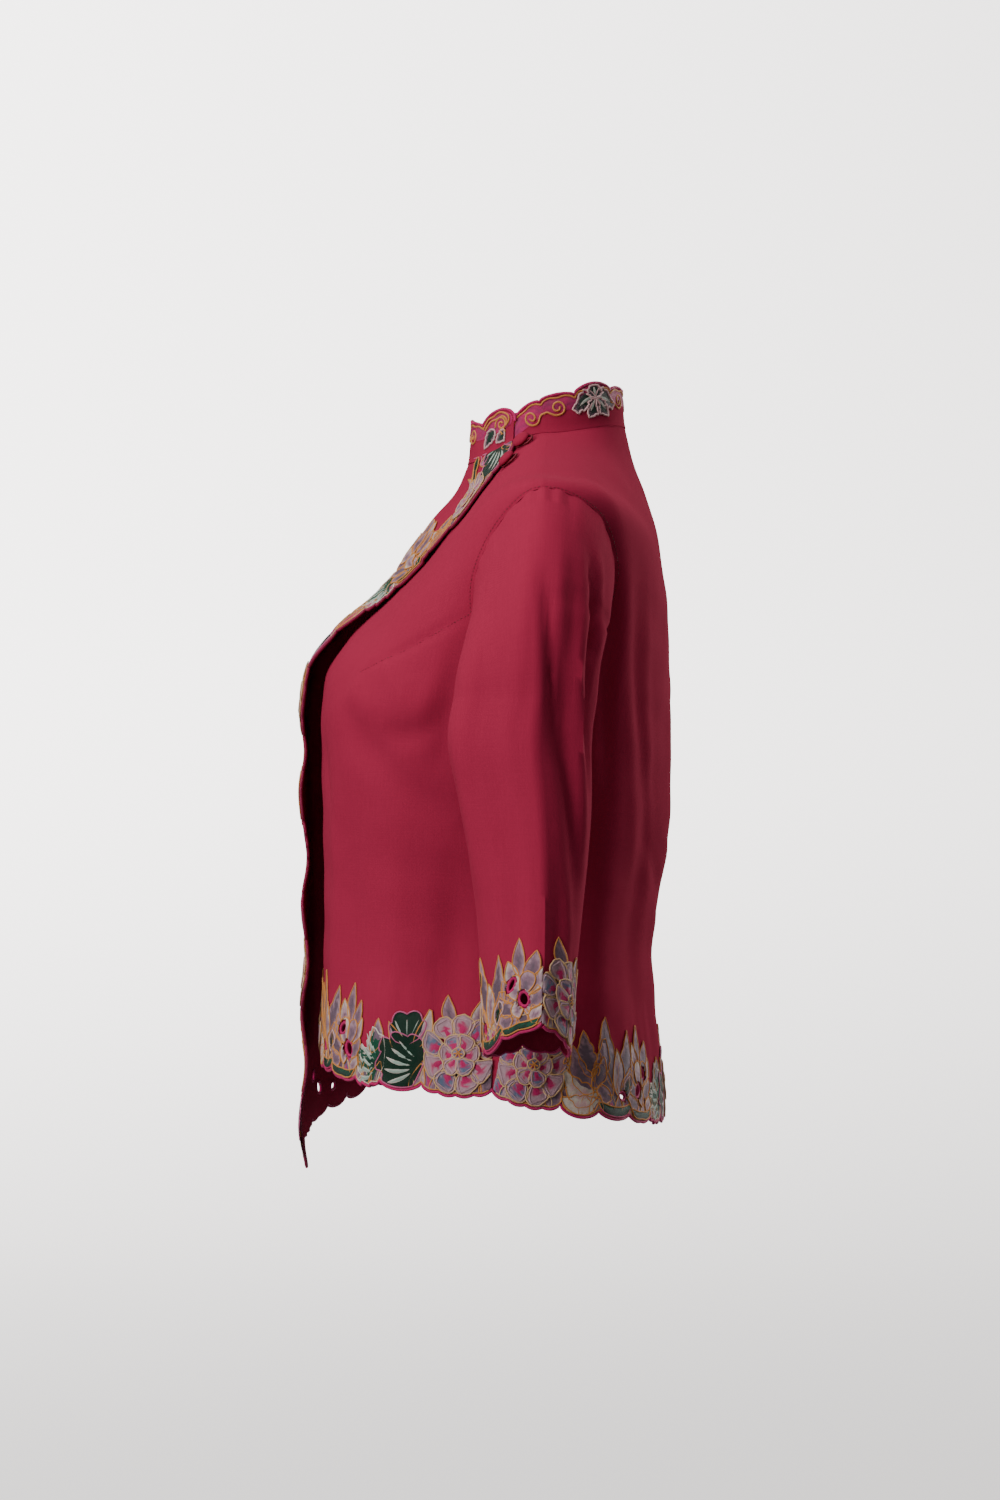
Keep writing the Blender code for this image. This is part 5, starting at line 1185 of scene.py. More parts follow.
# Palettes run from the heart of a petal to its rim, then its outline
palettes = {
    "mauveGold": ("greyMauve", "mauve", "paleMauve", "gold"),
    "paleGold": ("mauve", "paleMauve", "cream", "gold"),
    "greyGold": ("greyMauve", "greyMauve", "paleMauve", "gold"),
    "bluePetal": ("magenta", "blueGrey", "paleMauve", "creamGold"),
    "rosePetal": ("magenta", "paleMauve", "paleMauve", "creamGold"),
    "roseFill": ("magenta", "roseMauve", "magenta", None),
    "greenWhite": ("darkGreen", "green", "green", None),
    "whiteEdge": ("white", "white", "white", "white"),
    "greenPink": ("darkGreen", "darkGreen", "darkGreen", "pink"),
    # dark green runs on into the middle here: partly the thread's own dark green, partly painted shade
    "greenGold": ("darkGreen", "darkGreen", "green", "gold"),
    "vein": ("leafPale", "leafPale", "white", None),
    "cream": ("palePink", "cream", "white", "gold"),
    "roseHeart": ("magenta", "magenta", "magenta", None),
    "roseGold": ("magenta", "magenta", "pink", "gold"),
    "greenPale": ("darkGreen", "darkGreen", "mauve", "palePink"),
    "pinkBud": ("magenta", "pink", "pink", "gold"),
}
# Motifs in millimetres above the cut edge. A petal has kind, root, tip, width, bend and palette. A fan has
# centre, direction, length, spread, lobes and palette. A curl has start, centre, radius and hand. A line has
# its places and tint. A star has centre, size, points and tint.
motifs = {
    "lily": (
        ("petal", "pointed", (21, 44), (20, 74), 12, 0.04, "mauveGold"),
        ("petal", "pointed", (17, 38), (9, 60), 13, 0.06, "paleGold"),
        ("petal", "pointed", (25, 38), (35, 61), 14, -0.08, "mauveGold"),
        ("petal", "pointed", (18, 28), (3, 45), 14, 0.10, "mauveGold"),
        ("petal", "pointed", (26, 30), (42, 45), 15, -0.10, "paleGold"),
        ("petal", "pointed", (15, 18), (-2, 31), 13, 0.08, "greyGold"),
        ("petal", "pointed", (27, 20), (43, 29), 14, -0.08, "mauveGold"),
        ("petal", "pointed", (14, 12), (-3, 14), 13, 0.08, "mauveGold"),
        ("petal", "pointed", (29, 12), (43, 12), 13, -0.10, "paleGold"),
        ("petal", "round", (20, 25), (14, 47), 14, 0.06, "paleGold"),
        ("petal", "round", (23, 27), (29, 47), 14, -0.05, "mauveGold"),
        ("petal", "round", (21, 11), (19, 27), 13, 0.05, "paleGold"),
        ("petal", "blade", (2, 6), (39, 6), 12, -0.12, "greenGold"),
    ),
    "serratedLeaf": (
        ("petal", "pointed", (20, 24), (23, 50), 13, -0.05, "greyGold"),
        ("fan", (33, 13), 168, 42, 78, 3, "greenWhite"),
    ),
    "fanLeaf": (
        ("petal", "pointed", (24, 26), (4, 48), 12, 0.05, "mauveGold"),
        ("petal", "pointed", (28, 30), (38, 58), 12, -0.05, "paleGold"),
        ("fan", (21, 34), 96, 27, 74, 4, "greenPink"),
        ("fan", (37, 17), 172, 43, 72, 6, "greenPink"),
    ),
    "peony": (
        ("petal", "pointed", (20, 52), (14, 74), 12, 0.04, "mauveGold"),
        ("petal", "pointed", (38, 52), (44, 72), 12, -0.04, "paleGold"),
        ("petal", "blade", (48, 46), (60, 62), 9, -0.04, "greenGold"),
        ("ring", (28, 31), 21.5, 9, 19, 19, 13.5,
         ("rosePetal", "bluePetal", "rosePetal", "rosePetal", "bluePetal")),
        ("ring", (28, 31), 9.5, 6, 14.5, 14.5, 10.5, ("rosePetal", "rosePetal", "bluePetal")),
        ("petal", "round", (28, 26.5), (28, 36), 9.5, 0.0, "bluePetal"),
        ("star", (28, 31.5), 3.2, 6, "gold"),
    ),
    "crescent": (
        ("petal", "toothedWide", (17, 22), (3, 74), 21, 0.06, "greyGold"),
        ("petal", "toothedWide", (21, 20), (36, 64), 19, -0.06, "greyGold"),
        ("petal", "pointed", (14, 18), (-7, 40), 15, 0.08, "mauveGold"),
        ("petal", "pointed", (20, 18), (19, 54), 15, -0.03, "paleGold"),
        ("petal", "pointed", (24, 22), (42, 37), 13, -0.08, "mauveGold"),
        ("petal", "pointed", (12, 14), (-4, 19), 13, 0.05, "mauveGold"),
        ("petal", "blade", (-1, 7), (38, 7), 14, -0.12, "greenGold"),
        ("petal", "round", (31, 15), (35, 30), 12, 0.0, "greenPale"),
        ("line", ((1, 2.6), (18, 0.8), (36, 2.6)), "magenta"),
    ),
    "paleLeaf": (
        ("petal", "toothedWide", (26, 30), (14, 66), 17, 0.06, "greyGold"),
        ("petal", "toothedWide", (28, 26), (38, 58), 15, -0.06, "mauveGold"),
        ("petal", "toothedWide", (27, 18), (4, 50), 18, 0.08, "mauveGold"),
        ("petal", "toothedWide", (32, 14), (-4, 28), 20, 0.08, "cream"),
        ("petal", "toothedWide", (34, 9), (-1, 5), 16, -0.05, "cream"),
        ("petal", "pointed", (27, 20), (36, 42), 13, -0.05, "mauveGold"),
        ("curl", (31, 28), (27, 34), 4.6, 1, "gold"),
        ("curl", (4, 38), (0, 35), 3.6, -1, "gold"),
    ),
    "scroll": (
        ("petal", "pointed", (14, 11), (19, 34), 10, 0.10, "mauveGold"),
        ("petal", "pointed", (16, 11), (2, 27), 11, 0.10, "paleGold"),
        ("petal", "pointed", (17, 9), (31, 21), 11, 0.10, "pinkBud"),
        ("petal", "blade", (-1, 5), (29, 6), 13, 0.10, "mauveGold"),
        ("petal", "blade", (1, 3.4), (27, 3.6), 5, 0.04, "roseGold"),
        ("curl", (4, 12), (10.5, 16.5), 5.2, -1, "gold"),
        ("curl", (26, 11), (20.5, 15.0), 4.6, 1, "gold"),
    ),
}
# On the collar the band is low, so it takes scrolls and small leaves of its own
collarMotifs = {
    "scroll": (
        ("petal", "blade", (-7, 6.6), (35, 6.6), 15, 0.0, "roseFill"),
        ("line", ((-1, 3.2), (7, 1.9), (14, 3.0), (21, 1.9), (29, 3.2)), "gold"),
        ("line", ((29, 10.2), (24, 12.0), (20.5, 14.6)), "gold"),
        ("curl", (20.5, 14.6), (15.2, 10.6), 6.6, 1, "gold"),
    ),
    "tab": (
        ("petal", "round", (2, 9), (38, 10), 19, 0.0, "roseFill"),
        ("petal", "toothed", (13, 14), (1, 21), 11, 0.05, "greenPale"),
        ("petal", "toothed", (25, 17), (13, 25), 9, -0.05, "greenPale"),
        ("line", ((1, 5), (8, 2.6), (14, 3.6), (20, 2.2), (26, 3.4), (31, 6.5), (33, 11), (32, 16), (28, 20)),
         "gold"),
        ("line", ((3, 8), (10, 6), (17, 6.8), (24, 6.0), (28.5, 9.4), (29, 14), (26, 18)), "gold"),
        ("curl", (14, 13), (21, 12), 6.4, 1, "gold"),
    ),
    "fanLeaf": (
        ("petal", "blade", (-4, 4.6), (40, 4.6), 10.0, 0.0, "roseFill"),
        ("line", ((-1, 3.0), (4, 2.0), (8, 3.4)), "gold"),
        ("line", ((28, 3.4), (32, 2.0), (37, 3.0)), "gold"),
        ("petal", "toothed", (18, 11), (-4, 13), 15, 0.05, "greenPale"),
        ("petal", "toothed", (19, 13), (8, 25), 13, -0.05, "greenPale"),
        ("petal", "toothed", (18, 11), (40, 13), 15, -0.05, "greenPale"),
        ("petal", "toothed", (19, 13), (30, 25), 13, 0.05, "greenPale"),
        ("petal", "toothed", (18, 12), (18, 0), 15, 0.05, "greenPale"),
        ("petal", "blade", (16, 11), (2, 12.4), 2.4, 0.03, "vein"),
        ("petal", "blade", (17, 13), (10.5, 21), 2.2, 0.0, "vein"),
        ("petal", "blade", (20, 11), (34, 12.4), 2.4, 0.03, "vein"),
        ("petal", "blade", (20, 13), (27.5, 21), 2.2, 0.0, "vein"),
        ("petal", "blade", (18, 10), (18, 3), 2.2, 0.0, "vein"),
    ),
}
# Rows of small petals that fill the cloth beneath the motifs: root, tip, width and step, in millimetres
fillRows = {
    "hem": ((24, 5, 15, 11.0), (17, -4, 13, 9.0)),
    "cuff": ((44, 25, 15, 11.0), (33, 13, 15, 11.0), (19, -4, 13, 9.0)),
    "lap": ((24, 5, 14, 11.0), (16, -4, 13, 9.0)), "collar": (),
}
fillPalettes = ("mauveGold", "paleGold", "greyGold", "rosePetal", "mauveGold", "bluePetal")
needlework = {
    "ground": 0.00016, "layer": 0.00009, "dome": 0.00042, "grain": 0.20,
    "cordRadius": 0.00058, "collarCordRadius": 0.00085, "cordSides": 5,
    "edgeRadius": 0.00130, "edgeSides": 6, "edgeInset": 0.0019, "edgeLift": 0.0001,
    "rise": {"hem": 1.0, "cuff": 0.93, "lap": 1.05, "collar": 1.0},
    # room left round a hole, lift of an outline on its petal, least share of a shape inside its ribbon
    "holeRoom": 0.0008, "outlineLift": 0.00012, "leastInside": 0.55,
    # rows and columns of a petal's grid, for plain, toothed, broad and narrow ones
    "plainRows": 13, "toothedRows": 23, "broadColumns": 7, "narrowColumns": 3, "narrow": 3,
}


def petalWidth(kind, t):
    if kind == "round":
        return np.sin(np.pi * t ** 1.5) ** 0.55
    if kind == "blade":
        return np.sin(np.pi * t) ** 0.65
    body = np.sin(np.pi * t ** 0.82) ** 0.85
    if kind == "toothed":
        return body * (0.80 + 0.34 * ((t * 4.5) % 1.0))
    if kind == "toothedWide":
        return body * (0.88 + 0.20 * np.abs(np.sin(np.pi * t * 4.0)))
    return body


class Strands:
    # Paths of thread, all in one net of edges
    def __init__(self):
        self.points, self.edges, self.tints, self.runs, self.count = [], [], [], [], 0

    def add(self, points, tint, closed=False):
        step = np.linalg.norm(np.diff(points, axis=0), axis=1)
        n, first = len(points), self.count
        self.edges += [(first + k, first + k + 1) for k in range(n - 1)]
        if closed:
            self.edges.append((first + n - 1, first))
        self.points.append(points)
        self.tints.append(np.tile(tint, (n, 1)))
        self.runs.append(np.concatenate([[0], np.cumsum(step)]))
        self.count += n

    def mesh(self, name):
        return threadMesh(name, np.concatenate(self.points), (), self.edges, np.concatenate(self.tints),
                          np.concatenate(self.runs))


class Needlework:
    # Gathers the patches, the outlines and the edge threads of one piece of cloth
    def __init__(self):
        self.points, self.faces, self.tints, self.runs, self.count = [], [], [], [], 0
        self.outlines, self.rims = Strands(), Strands()

    def patch(self, points, tints, runs, keep):
        # A grid of points, rows by columns
        rows, columns = points.shape[:2]
        first = self.count
        i, j = np.meshgrid(np.arange(rows - 1), np.arange(columns - 1), indexing="ij")
        corner = (first + i * columns + j)[keep]
        self.faces.append(np.stack([corner, corner + 1, corner + columns + 1, corner + columns], axis=1))
        self.points.append(points.reshape(-1, 3))
        self.tints.append(tints.reshape(-1, 3))
        self.runs.append(runs.ravel())
        self.count += rows * columns


def blend(palette, share):
    # Tint from heart to rim, with the soft steps of long and short stitches
    heart, middle, rim = (np.array(threads[name]) for name in palettes[palette][:3])
    a, b = smooth(0.22, 0.46, share)[..., None], smooth(0.58, 0.86, share)[..., None]
    return (heart * (1 - a) + middle * a) * (1 - b) + rim * b


def drawMotif(work, given, name, number, start, width, dropAt, chance):
    ribbon, kind = given["ribbon"], given["kind"]
    scale = width / border["motifs"][name][0]
    drawn, mirrored = motifs[name], ribbon.flipped
    if kind == "collar":
        last = number == len(given["laid"]) - 1
        drawn, mirrored = collarMotifs["tab" if last else name], number % 2 == 1 and not last
    rise = needlework["rise"][kind]
    net = ribbon.net
    layer = [0]

    def toEdge(x, y):
        x = width * 1000 - x * scale if mirrored else x * scale
        s = start + x / 1000
        h = y / 1000 * rise
        inside = (s > ribbon.margin) & (s < ribbon.length - ribbon.margin)
        s = np.clip(s, ribbon.margin, ribbon.length - ribbon.margin)
        h = np.maximum(h, needlework["edgeInset"]) - np.interp(s, dropAt[0], dropAt[1])
        return s, h, inside

    def clear(s, h):
        free, room = np.ones(np.shape(s), bool), needlework["holeRoom"]
        for at, above, halfLong, halfHigh, lean in given["cuts"]:
            x = (s - at) * math.cos(lean) + (h - above) * math.sin(lean)
            y = -(s - at) * math.sin(lean) + (h - above) * math.cos(lean)
            free &= (x / (halfLong + room)) ** 2 + (y / (halfHigh + room)) ** 2 > 1
        return free

    def height(above=0):
        return needlework["ground"] + needlework["layer"] * (layer[0] + above)

    def lay(x, y, lift, tints, runs, outline):
        s, h, inside = toEdge(x, y)
        if inside.mean() < needlework["leastInside"]:
            return
        flat = ribbon.place(s, h)
        base = height()
        points = net.at(flat[..., 0], flat[..., 1], base + lift)
        free = clear(s, h)
        keep = free[:-1, :-1] & free[1:, 1:] & free[:-1, 1:] & free[1:, :-1]
        work.patch(points, tints, runs, keep)
        if outline is not None:
            line(*outline, base + needlework["outlineLift"])
        layer[0] += 1

    def line(x, y, tint, lift):
        s, h, inside = toEdge(np.asarray(x, float), np.asarray(y, float))
        flat = ribbon.place(s, h)
        path = net.at(flat[..., 0], flat[..., 1], lift)
        free = clear(s, h) & inside
        for piece in np.split(np.arange(len(path)), np.flatnonzero(~free)):
            piece = piece[free[piece]]
            if len(piece) > 2:
                work.outlines.add(path[piece], threads[tint])

    def petal(kindName, root, tip, wide, bend, palette, doubled=False):
        rows = needlework["toothedRows" if "toothed" in kindName else "plainRows"]
        columns = needlework["broadColumns" if wide > needlework["narrow"] else "narrowColumns"]
        root, tip = np.array(root, float), np.array(tip, float)
        run = tip - root
        length = np.linalg.norm(run)
        side = np.array([-run[1], run[0]]) / length
        t = np.linspace(0.0, 1.0, rows)
        spine = root + run * t[:, None] + side * (bend * length * np.sin(np.pi * t))[:, None]
        half = petalWidth(kindName, t) * wide / 2
        v = np.linspace(-1, 1, columns)
        x = spine[:, 0][:, None] + side[0] * half[:, None] * v
        y = spine[:, 1][:, None] + side[1] * half[:, None] * v
        share = np.sqrt(v[None, :] ** 2 * 0.9 + ((t[:, None] - 0.42) / 0.60) ** 2)
        share = share + chance.uniform(-1, 1, share.shape) * needlework["grain"]
        tints = (blend(palette, share) * chance.uniform(0.90, 1.08)
                 * chance.uniform(0.88, 1.10, share.shape)[..., None])
        ridge = np.sin(np.pi * np.clip(t, 0.06, 0.94))[:, None] ** 0.4
        lift = needlework["dome"] * (1 - v[None, :] ** 2) * ridge
        runs = (t[:, None] * length + np.abs(v[None, :]) * 1.6) / 1000 + 0 * lift
        outline = None
        tint = palettes[palette][3]
        if tint is not None:
            outline = (np.concatenate([x[:, 0], x[::-1, -1][1:]]),
                       np.concatenate([y[:, 0], y[::-1, -1][1:]]), tint)
        lay(x, y, lift, tints, runs, outline)
        if doubled:
            x, y = x[2:-2], y[2:-2]
            middle = columns // 2
            inner = [(a[:, middle:middle + 1] + (a - a[:, middle:middle + 1]) * 0.70) for a in (x, y)]
            line(*(np.concatenate([a[:, 0], a[::-1, -1], a[:1, 0]]) for a in inner), "paleMauve",
                 height() + needlework["dome"] * 0.5)

    def fan(centre, direction, length, spread, lobes, palette):
        across = lobes * (12 if lobes == 3 else 6) + 1
        u = np.linspace(-1, 1, across)
        r = np.linspace(0.08, 1.0, 8)
        turn = np.radians(direction + u * spread)
        around = np.cos(turn - turn.mean()) ** 0.7
        if lobes == 3:  # three pointed, saw-toothed lobes
            part = (lobes * (u + 1) / 2) % 1.0
            teeth = 0.60 + 0.34 * (1 - np.abs(2 * part - 1)) + 0.10 * ((part * 4) % 1.0)
            edge = length * teeth * around ** 0.6
        else:
            edge = length * (0.88 + 0.12 * np.abs(np.sin(np.pi * lobes * (u + 1) / 2))) * around
        if palette == "greenWhite":
            fan(centre, direction, length, spread, lobes, "whiteEdge")
            edge = edge - 0.075 * length
        reach = r[:, None] * edge[None, :]
        x, y = centre[0] + reach * np.cos(turn), centre[1] + reach * np.sin(turn)
        share = np.maximum(np.abs(u)[None, :] * 0.6, r[:, None]) + chance.uniform(-0.15, 0.15, x.shape)
        ridge = np.sin(np.pi * np.clip(r, 0.1, 0.93))[:, None]
        lift = needlework["dome"] * ridge * (1 - u[None, :] ** 4) + 0 * x
        runs = np.abs(turn)[None, :] * reach * 0.001 + 0 * x
        pathX = np.concatenate([[centre[0]], x[:, 0], x[-1, 1:], x[::-1, -1][1:], [centre[0]]])
        pathY = np.concatenate([[centre[1]], y[:, 0], y[-1, 1:], y[::-1, -1][1:], [centre[1]]])
        rim = palettes[palette][3]
        lay(x, y, lift, blend(palette, share), runs, None if rim is None else (pathX, pathY, rim))
        if palette == "whiteEdge":
            return
        veins = lobes - 1 if lobes > 3 else 5
        for k in range(veins):
            lean = math.radians(direction + spread * 1.15 * ((k + 0.5) / veins - 0.5))
            near, far = length * 0.26, length * chance.uniform(0.70, 0.80)
            root = (centre[0] + near * math.cos(lean), centre[1] + near * math.sin(lean))
            tip = (centre[0] + far * math.cos(lean), centre[1] + far * math.sin(lean))
            petal("blade", root, tip, length * 0.075, 0.0, "vein")

    def ring(centre, radius, count, long, wide, high, colours):
        for k in range(count):
            turn = 2 * math.pi * (k + 0.25 * (count % 2)) / count + chance.uniform(-0.08, 0.08)
            ahead = np.array([math.cos(turn), math.sin(turn) * (high / 12.0 if kind == "collar" else 1.0)])
            middle = np.array(centre, float) + ahead * radius
            root, tip = middle - ahead * long / 2, middle + ahead * long / 2
            palette = colours[k % len(colours)]
            petal("round", root, tip, wide, 0.0, palette, True)
            petal("round", root + ahead * long * 0.10, root + ahead * long * 0.62, wide * 0.42, 0.0,
                  "roseHeart")

    def star(centre, size, points, tint):
        for k in range(points):
            turn = 2 * math.pi * k / points
            reach = np.array([0.1, 0.55, 1.0]) * size
            line(centre[0] + reach * math.cos(turn), centre[1] + reach * math.sin(turn), tint,
                 height() + needlework["dome"])

    def curl(begin, centre, radius, hand, tint):
        begin, centre = np.array(begin, float), np.array(centre, float)
        turn = np.linspace(0, 2 * np.pi * 1.45, 30)
        away = begin - centre
        first = math.atan2(away[1], away[0])
        size = np.maximum(radius * (1 - turn / turn[-1] * 0.80), 0.7)
        x = centre[0] + size * np.cos(first + hand * turn)
        y = centre[1] + size * np.sin(first + hand * turn)
        s, h, inside = toEdge(x, y)
        if inside.all() and clear(s, h).all():
            line(x, y, tint, height(1))

    def longLine(places, tint):
        places = np.array(places, float)
        run = np.concatenate([[0], np.cumsum(np.linalg.norm(np.diff(places, axis=0), axis=1))])
        at = np.linspace(0, run[-1], 5 * len(run))
        line(*(curveThrough(run, places[:, k], at) for k in (0, 1)), tint, height(1))

    for root, tip, wide, step in fillRows[kind]:
        count = round(width * 1000 / scale / step)
        for k in range(count):
            x = (k + 0.5 + chance.uniform(-0.16, 0.16)) * width * 1000 / scale / count
            palette = fillPalettes[chance.integers(len(fillPalettes))]
            lean = chance.uniform(-2.5, 2.5)
            petal("round", (x + lean, root + chance.uniform(-2, 2)), (x - lean, tip), wide, 0.0, palette)
        layer[0] = min(layer[0], 4)
    draw = {"petal": petal, "fan": fan, "ring": ring, "star": star, "line": longLine, "curl": curl}
    for shape in drawn:
        draw[shape[0]](*shape[1:])


def embroider():
    works = {}
    for n, given in enumerate(borders):
        work = works.setdefault(given["piece"], Needlework())
        ribbon = given["ribbon"]
        chance = np.random.default_rng(40 + n)
        at, drop = [], []
        for name, start, width in given["laid"]:
            share = np.linspace(0, 1, 40, endpoint=False)
            at += list(start + share * width)
            drop += list(scallop(name, share))
        dropAt = (np.array(at), np.array(drop))
        for number, (name, start, width) in enumerate(given["laid"]):
            drawMotif(work, given, name, number, start, width, dropAt, chance)
        edge = given["edge"]
        path = ribbon.net.at(edge[:, 0], edge[:, 1], needlework["edgeLift"])
        tint = threads["deepMagenta" if given["kind"] == "lap" else "magenta"]
        work.rims.add(path, tint)
        for hole in given["holes"]:
            path = ribbon.net.at(hole[:, 0], hole[:, 1], -shell["wall"] / 2)
            work.rims.add(path, threads["magenta"], True)
    return works


def finished(tree, given, put, shape):
    # Ends a tree: real geometry with its finish
    real = tree.nodes.new("GeometryNodeRealizeInstances")
    finish = tree.nodes.new("GeometryNodeSetMaterial")
    tree.links.new(shape, real.inputs["Geometry"])
    tree.links.new(real.outputs["Geometry"], finish.inputs["Geometry"])
    tree.links.new(given.outputs["Finish"], finish.inputs["Material"])
    tree.links.new(finish.outputs["Geometry"], put.inputs["Geometry"])
    return tree


def cordTree():
    # Tubes of thread along every path of a net of edges
    rows = (("Geometry", "Geometry"), ("Cord radius", "Float", 0.0006, 0.0, 0.01), ("Sides", "Int", 5, 3, 24),
            ("Finish", "Material"))
    tree, given, put = newGroup("cordsAlongPaths", "GeometryNodeTree", rows, (("Geometry", "Geometry"),))
    paths = tree.nodes.new("GeometryNodeMeshToCurve")
    profile = tree.nodes.new("GeometryNodeCurvePrimitiveCircle")
    tubes = tree.nodes.new("GeometryNodeCurveToMesh")
    link = tree.links.new
    link(given.outputs["Geometry"], paths.inputs["Mesh"])
    link(given.outputs["Sides"], profile.inputs["Resolution"])
    link(given.outputs["Cord radius"], profile.inputs["Radius"])
    link(paths.outputs["Curve"], tubes.inputs["Curve"])
    link(profile.outputs["Curve"], tubes.inputs["Profile Curve"])
    tubes.inputs["Fill Caps"].default_value = True
    return finished(tree, given, put, tubes.outputs["Mesh"])


def stitchTree():
    # Short stitches set along every path
    rows = (("Geometry", "Geometry"), ("Stitch pitch", "Float", 0.003, 0.0005, 0.1),
            ("Stitch length", "Float", 0.002, 0.0, 0.1), ("Thread radius", "Float", 0.0003, 0.0, 0.01),
            ("Seed", "Int", 4), ("Finish", "Material"))
    tree, given, put = newGroup("stitchesAlongSeams", "GeometryNodeTree", rows, (("Geometry", "Geometry"),))
    paths = tree.nodes.new("GeometryNodeMeshToCurve")
    spots = tree.nodes.new("GeometryNodeCurveToPoints")
    spots.mode = "LENGTH"
    bead = tree.nodes.new("GeometryNodeMeshUVSphere")
    bead.inputs["Segments"].default_value = 6
    bead.inputs["Rings"].default_value = 4
    size = tree.nodes.new("ShaderNodeCombineXYZ")
    shape = tree.nodes.new("GeometryNodeTransform")
    half = mathNode(tree, "MULTIPLY", given.outputs["Stitch length"], 0.5)
    vary = tree.nodes.new("FunctionNodeRandomValue")
    vary.data_type = "FLOAT"
    vary.inputs[2].default_value = 0.85
    vary.inputs[3].default_value = 1.12
    place = tree.nodes.new("GeometryNodeInstanceOnPoints")
    link = tree.links.new
    link(given.outputs["Geometry"], paths.inputs["Mesh"])
    link(paths.outputs["Curve"], spots.inputs["Curve"])
    link(given.outputs["Stitch pitch"], spots.inputs["Length"])
    link(given.outputs["Thread radius"], size.inputs[0])
    link(given.outputs["Thread radius"], size.inputs[1])
    link(half, size.inputs[2])
    bead.inputs["Radius"].default_value = 1.0
    link(bead.outputs["Mesh"], shape.inputs["Geometry"])
    link(size.outputs[0], shape.inputs["Scale"])
    link(spots.outputs["Points"], place.inputs["Points"])
    link(shape.outputs["Geometry"], place.inputs["Instance"])
    link(spots.outputs["Rotation"], place.inputs["Rotation"])
    link(given.outputs["Seed"], vary.inputs["Seed"])
    link(vary.outputs[1], place.inputs["Scale"])
    return finished(tree, given, put, place.outputs["Instances"])


def grown(name, source, tree, values):
    # The tree's result as a plain mesh. Its inputs are set before it is first worked out
    holder = bpy.data.objects.new(name + "Paths", source)
    bpy.context.scene.collection.objects.link(holder)
    grow = holder.modifiers.new("grow", "NODES")
    grow.node_group = tree
    sockets = {item.name: item.identifier for item in tree.interface.items_tree if item.in_out == "INPUT"}
    for key, value in values.items():
        grow[sockets[key]] = value
    ready = holder.evaluated_get(bpy.context.evaluated_depsgraph_get())
    mesh = bpy.data.meshes.new_from_object(ready)
    mesh.name = name
    bpy.data.objects.remove(holder)
    bpy.data.meshes.remove(source)
    mesh.shade_smooth()
    return newPiece(name, mesh)


def threadMesh(name, points, faces, edges, tints, runs):
    # A mesh whose points carry the thread's tint and how far along the thread they lie
    mesh = newMesh(name, points, faces, edges)
    tint = mesh.attributes.new("tint", "FLOAT_COLOR", "POINT")
    full = np.concatenate([tints, np.ones((len(tints), 1))], axis=1)
    tint.data.foreach_set("color", full.astype(np.float32).ravel())
    run = mesh.attributes.new("run", "FLOAT", "POINT")
    run.data.foreach_set("value", np.asarray(runs, np.float32))
    return mesh


cords, stitches = cordTree(), stitchTree()
works = embroider()
needlePieces = {}
for pieceName, work in works.items():
    mesh = threadMesh(pieceName + "Embroidery", np.concatenate(work.points), np.concatenate(work.faces), (),
                      np.concatenate(work.tints), np.concatenate(work.runs))
    mesh.shade_smooth()
    patch = newPiece(pieceName + "Embroidery", mesh, satinMaterial)
    thick = "collarCordRadius" if pieceName == "collar" else "cordRadius"
    outlines = grown(pieceName + "Outlines", work.outlines.mesh(pieceName + "CordPaths"), cords, {
        "Cord radius": needlework[thick], "Sides": needlework["cordSides"], "Finish": cordMaterial})
    rims = grown(pieceName + "Edging", work.rims.mesh(pieceName + "RimPaths"), cords, {
        "Cord radius": needlework["edgeRadius"], "Sides": needlework["edgeSides"], "Finish": cordMaterial})
    needlePieces[pieceName] = [patch, outlines, rims]
    print(pieceName, "embroidered:", [len(o.data.polygons) for o in needlePieces[pieceName]])

# Seam stitches: paths on the cloth as net, places in angle and distance, and how they are sewn
sewing = {
    "pitch": 0.0030, "length": 0.0021, "radius": 0.00026, "lift": 0.00010, "seed": 4,
    "tint": dye(118, 24, 44),
    # how far the stitches beside an armhole lie from its edge, in degrees and metres
    "fromArmhole": (0.9, -0.001),
    # the three places that bend the dart, in degrees and metres
    "dart": ((76, 0.137), (63, 0.149), (46, 0.170)), "dartSteps": 60,
}


def sewSeams():
    paths = []

    def seam(net, flat, offset=0.0):
        flat = np.asarray(flat, float)
        paths.append(net.at(flat[:, 0], flat[:, 1], sewing["lift"] + offset))

    for sign in (1.0, -1.0):
        net = bodyNet if sign > 0 else lapNet
        t = np.linspace(0, 1, sewing["dartSteps"])[:, None]
        first, middle, last = np.array(sewing["dart"])
        dart = (1 - t) ** 2 * first + 2 * t * (1 - t) * middle + t * t * last
        seam(net, dart * np.array([sign, 1.0]))
        aside, above = sewing["fromArmhole"]
        ring = np.array(armholePart(True)) / bodyScale
        seam(net, (ring + np.array([-aside, above])) * np.array([sign, 1.0]))
        ring = np.array(armholePart(False)) / bodyScale
        ring = ring + np.array([aside, above])
        seam(bodyNet, ring if sign > 0 else np.stack([360 - ring[:, 0], ring[:, 1]], axis=1))
    points, edges, count = [], [], 0
    for path in paths:
        edges += [(count + k, count + k + 1) for k in range(len(path) - 1)]
        points.append(path)
        count += len(path)
    tint = np.tile(sewing["tint"], (count, 1))
    source = threadMesh("seamPaths", np.concatenate(points), (), edges, tint, np.zeros(count))
    return grown("seamStitches", source, stitches, {
        "Stitch pitch": sewing["pitch"], "Stitch length": sewing["length"], "Thread radius": sewing["radius"],
        "Seed": sewing["seed"], "Finish": cordMaterial})


seamStitches = sewSeams()
print("seams sewn:", len(seamStitches.data.polygons))

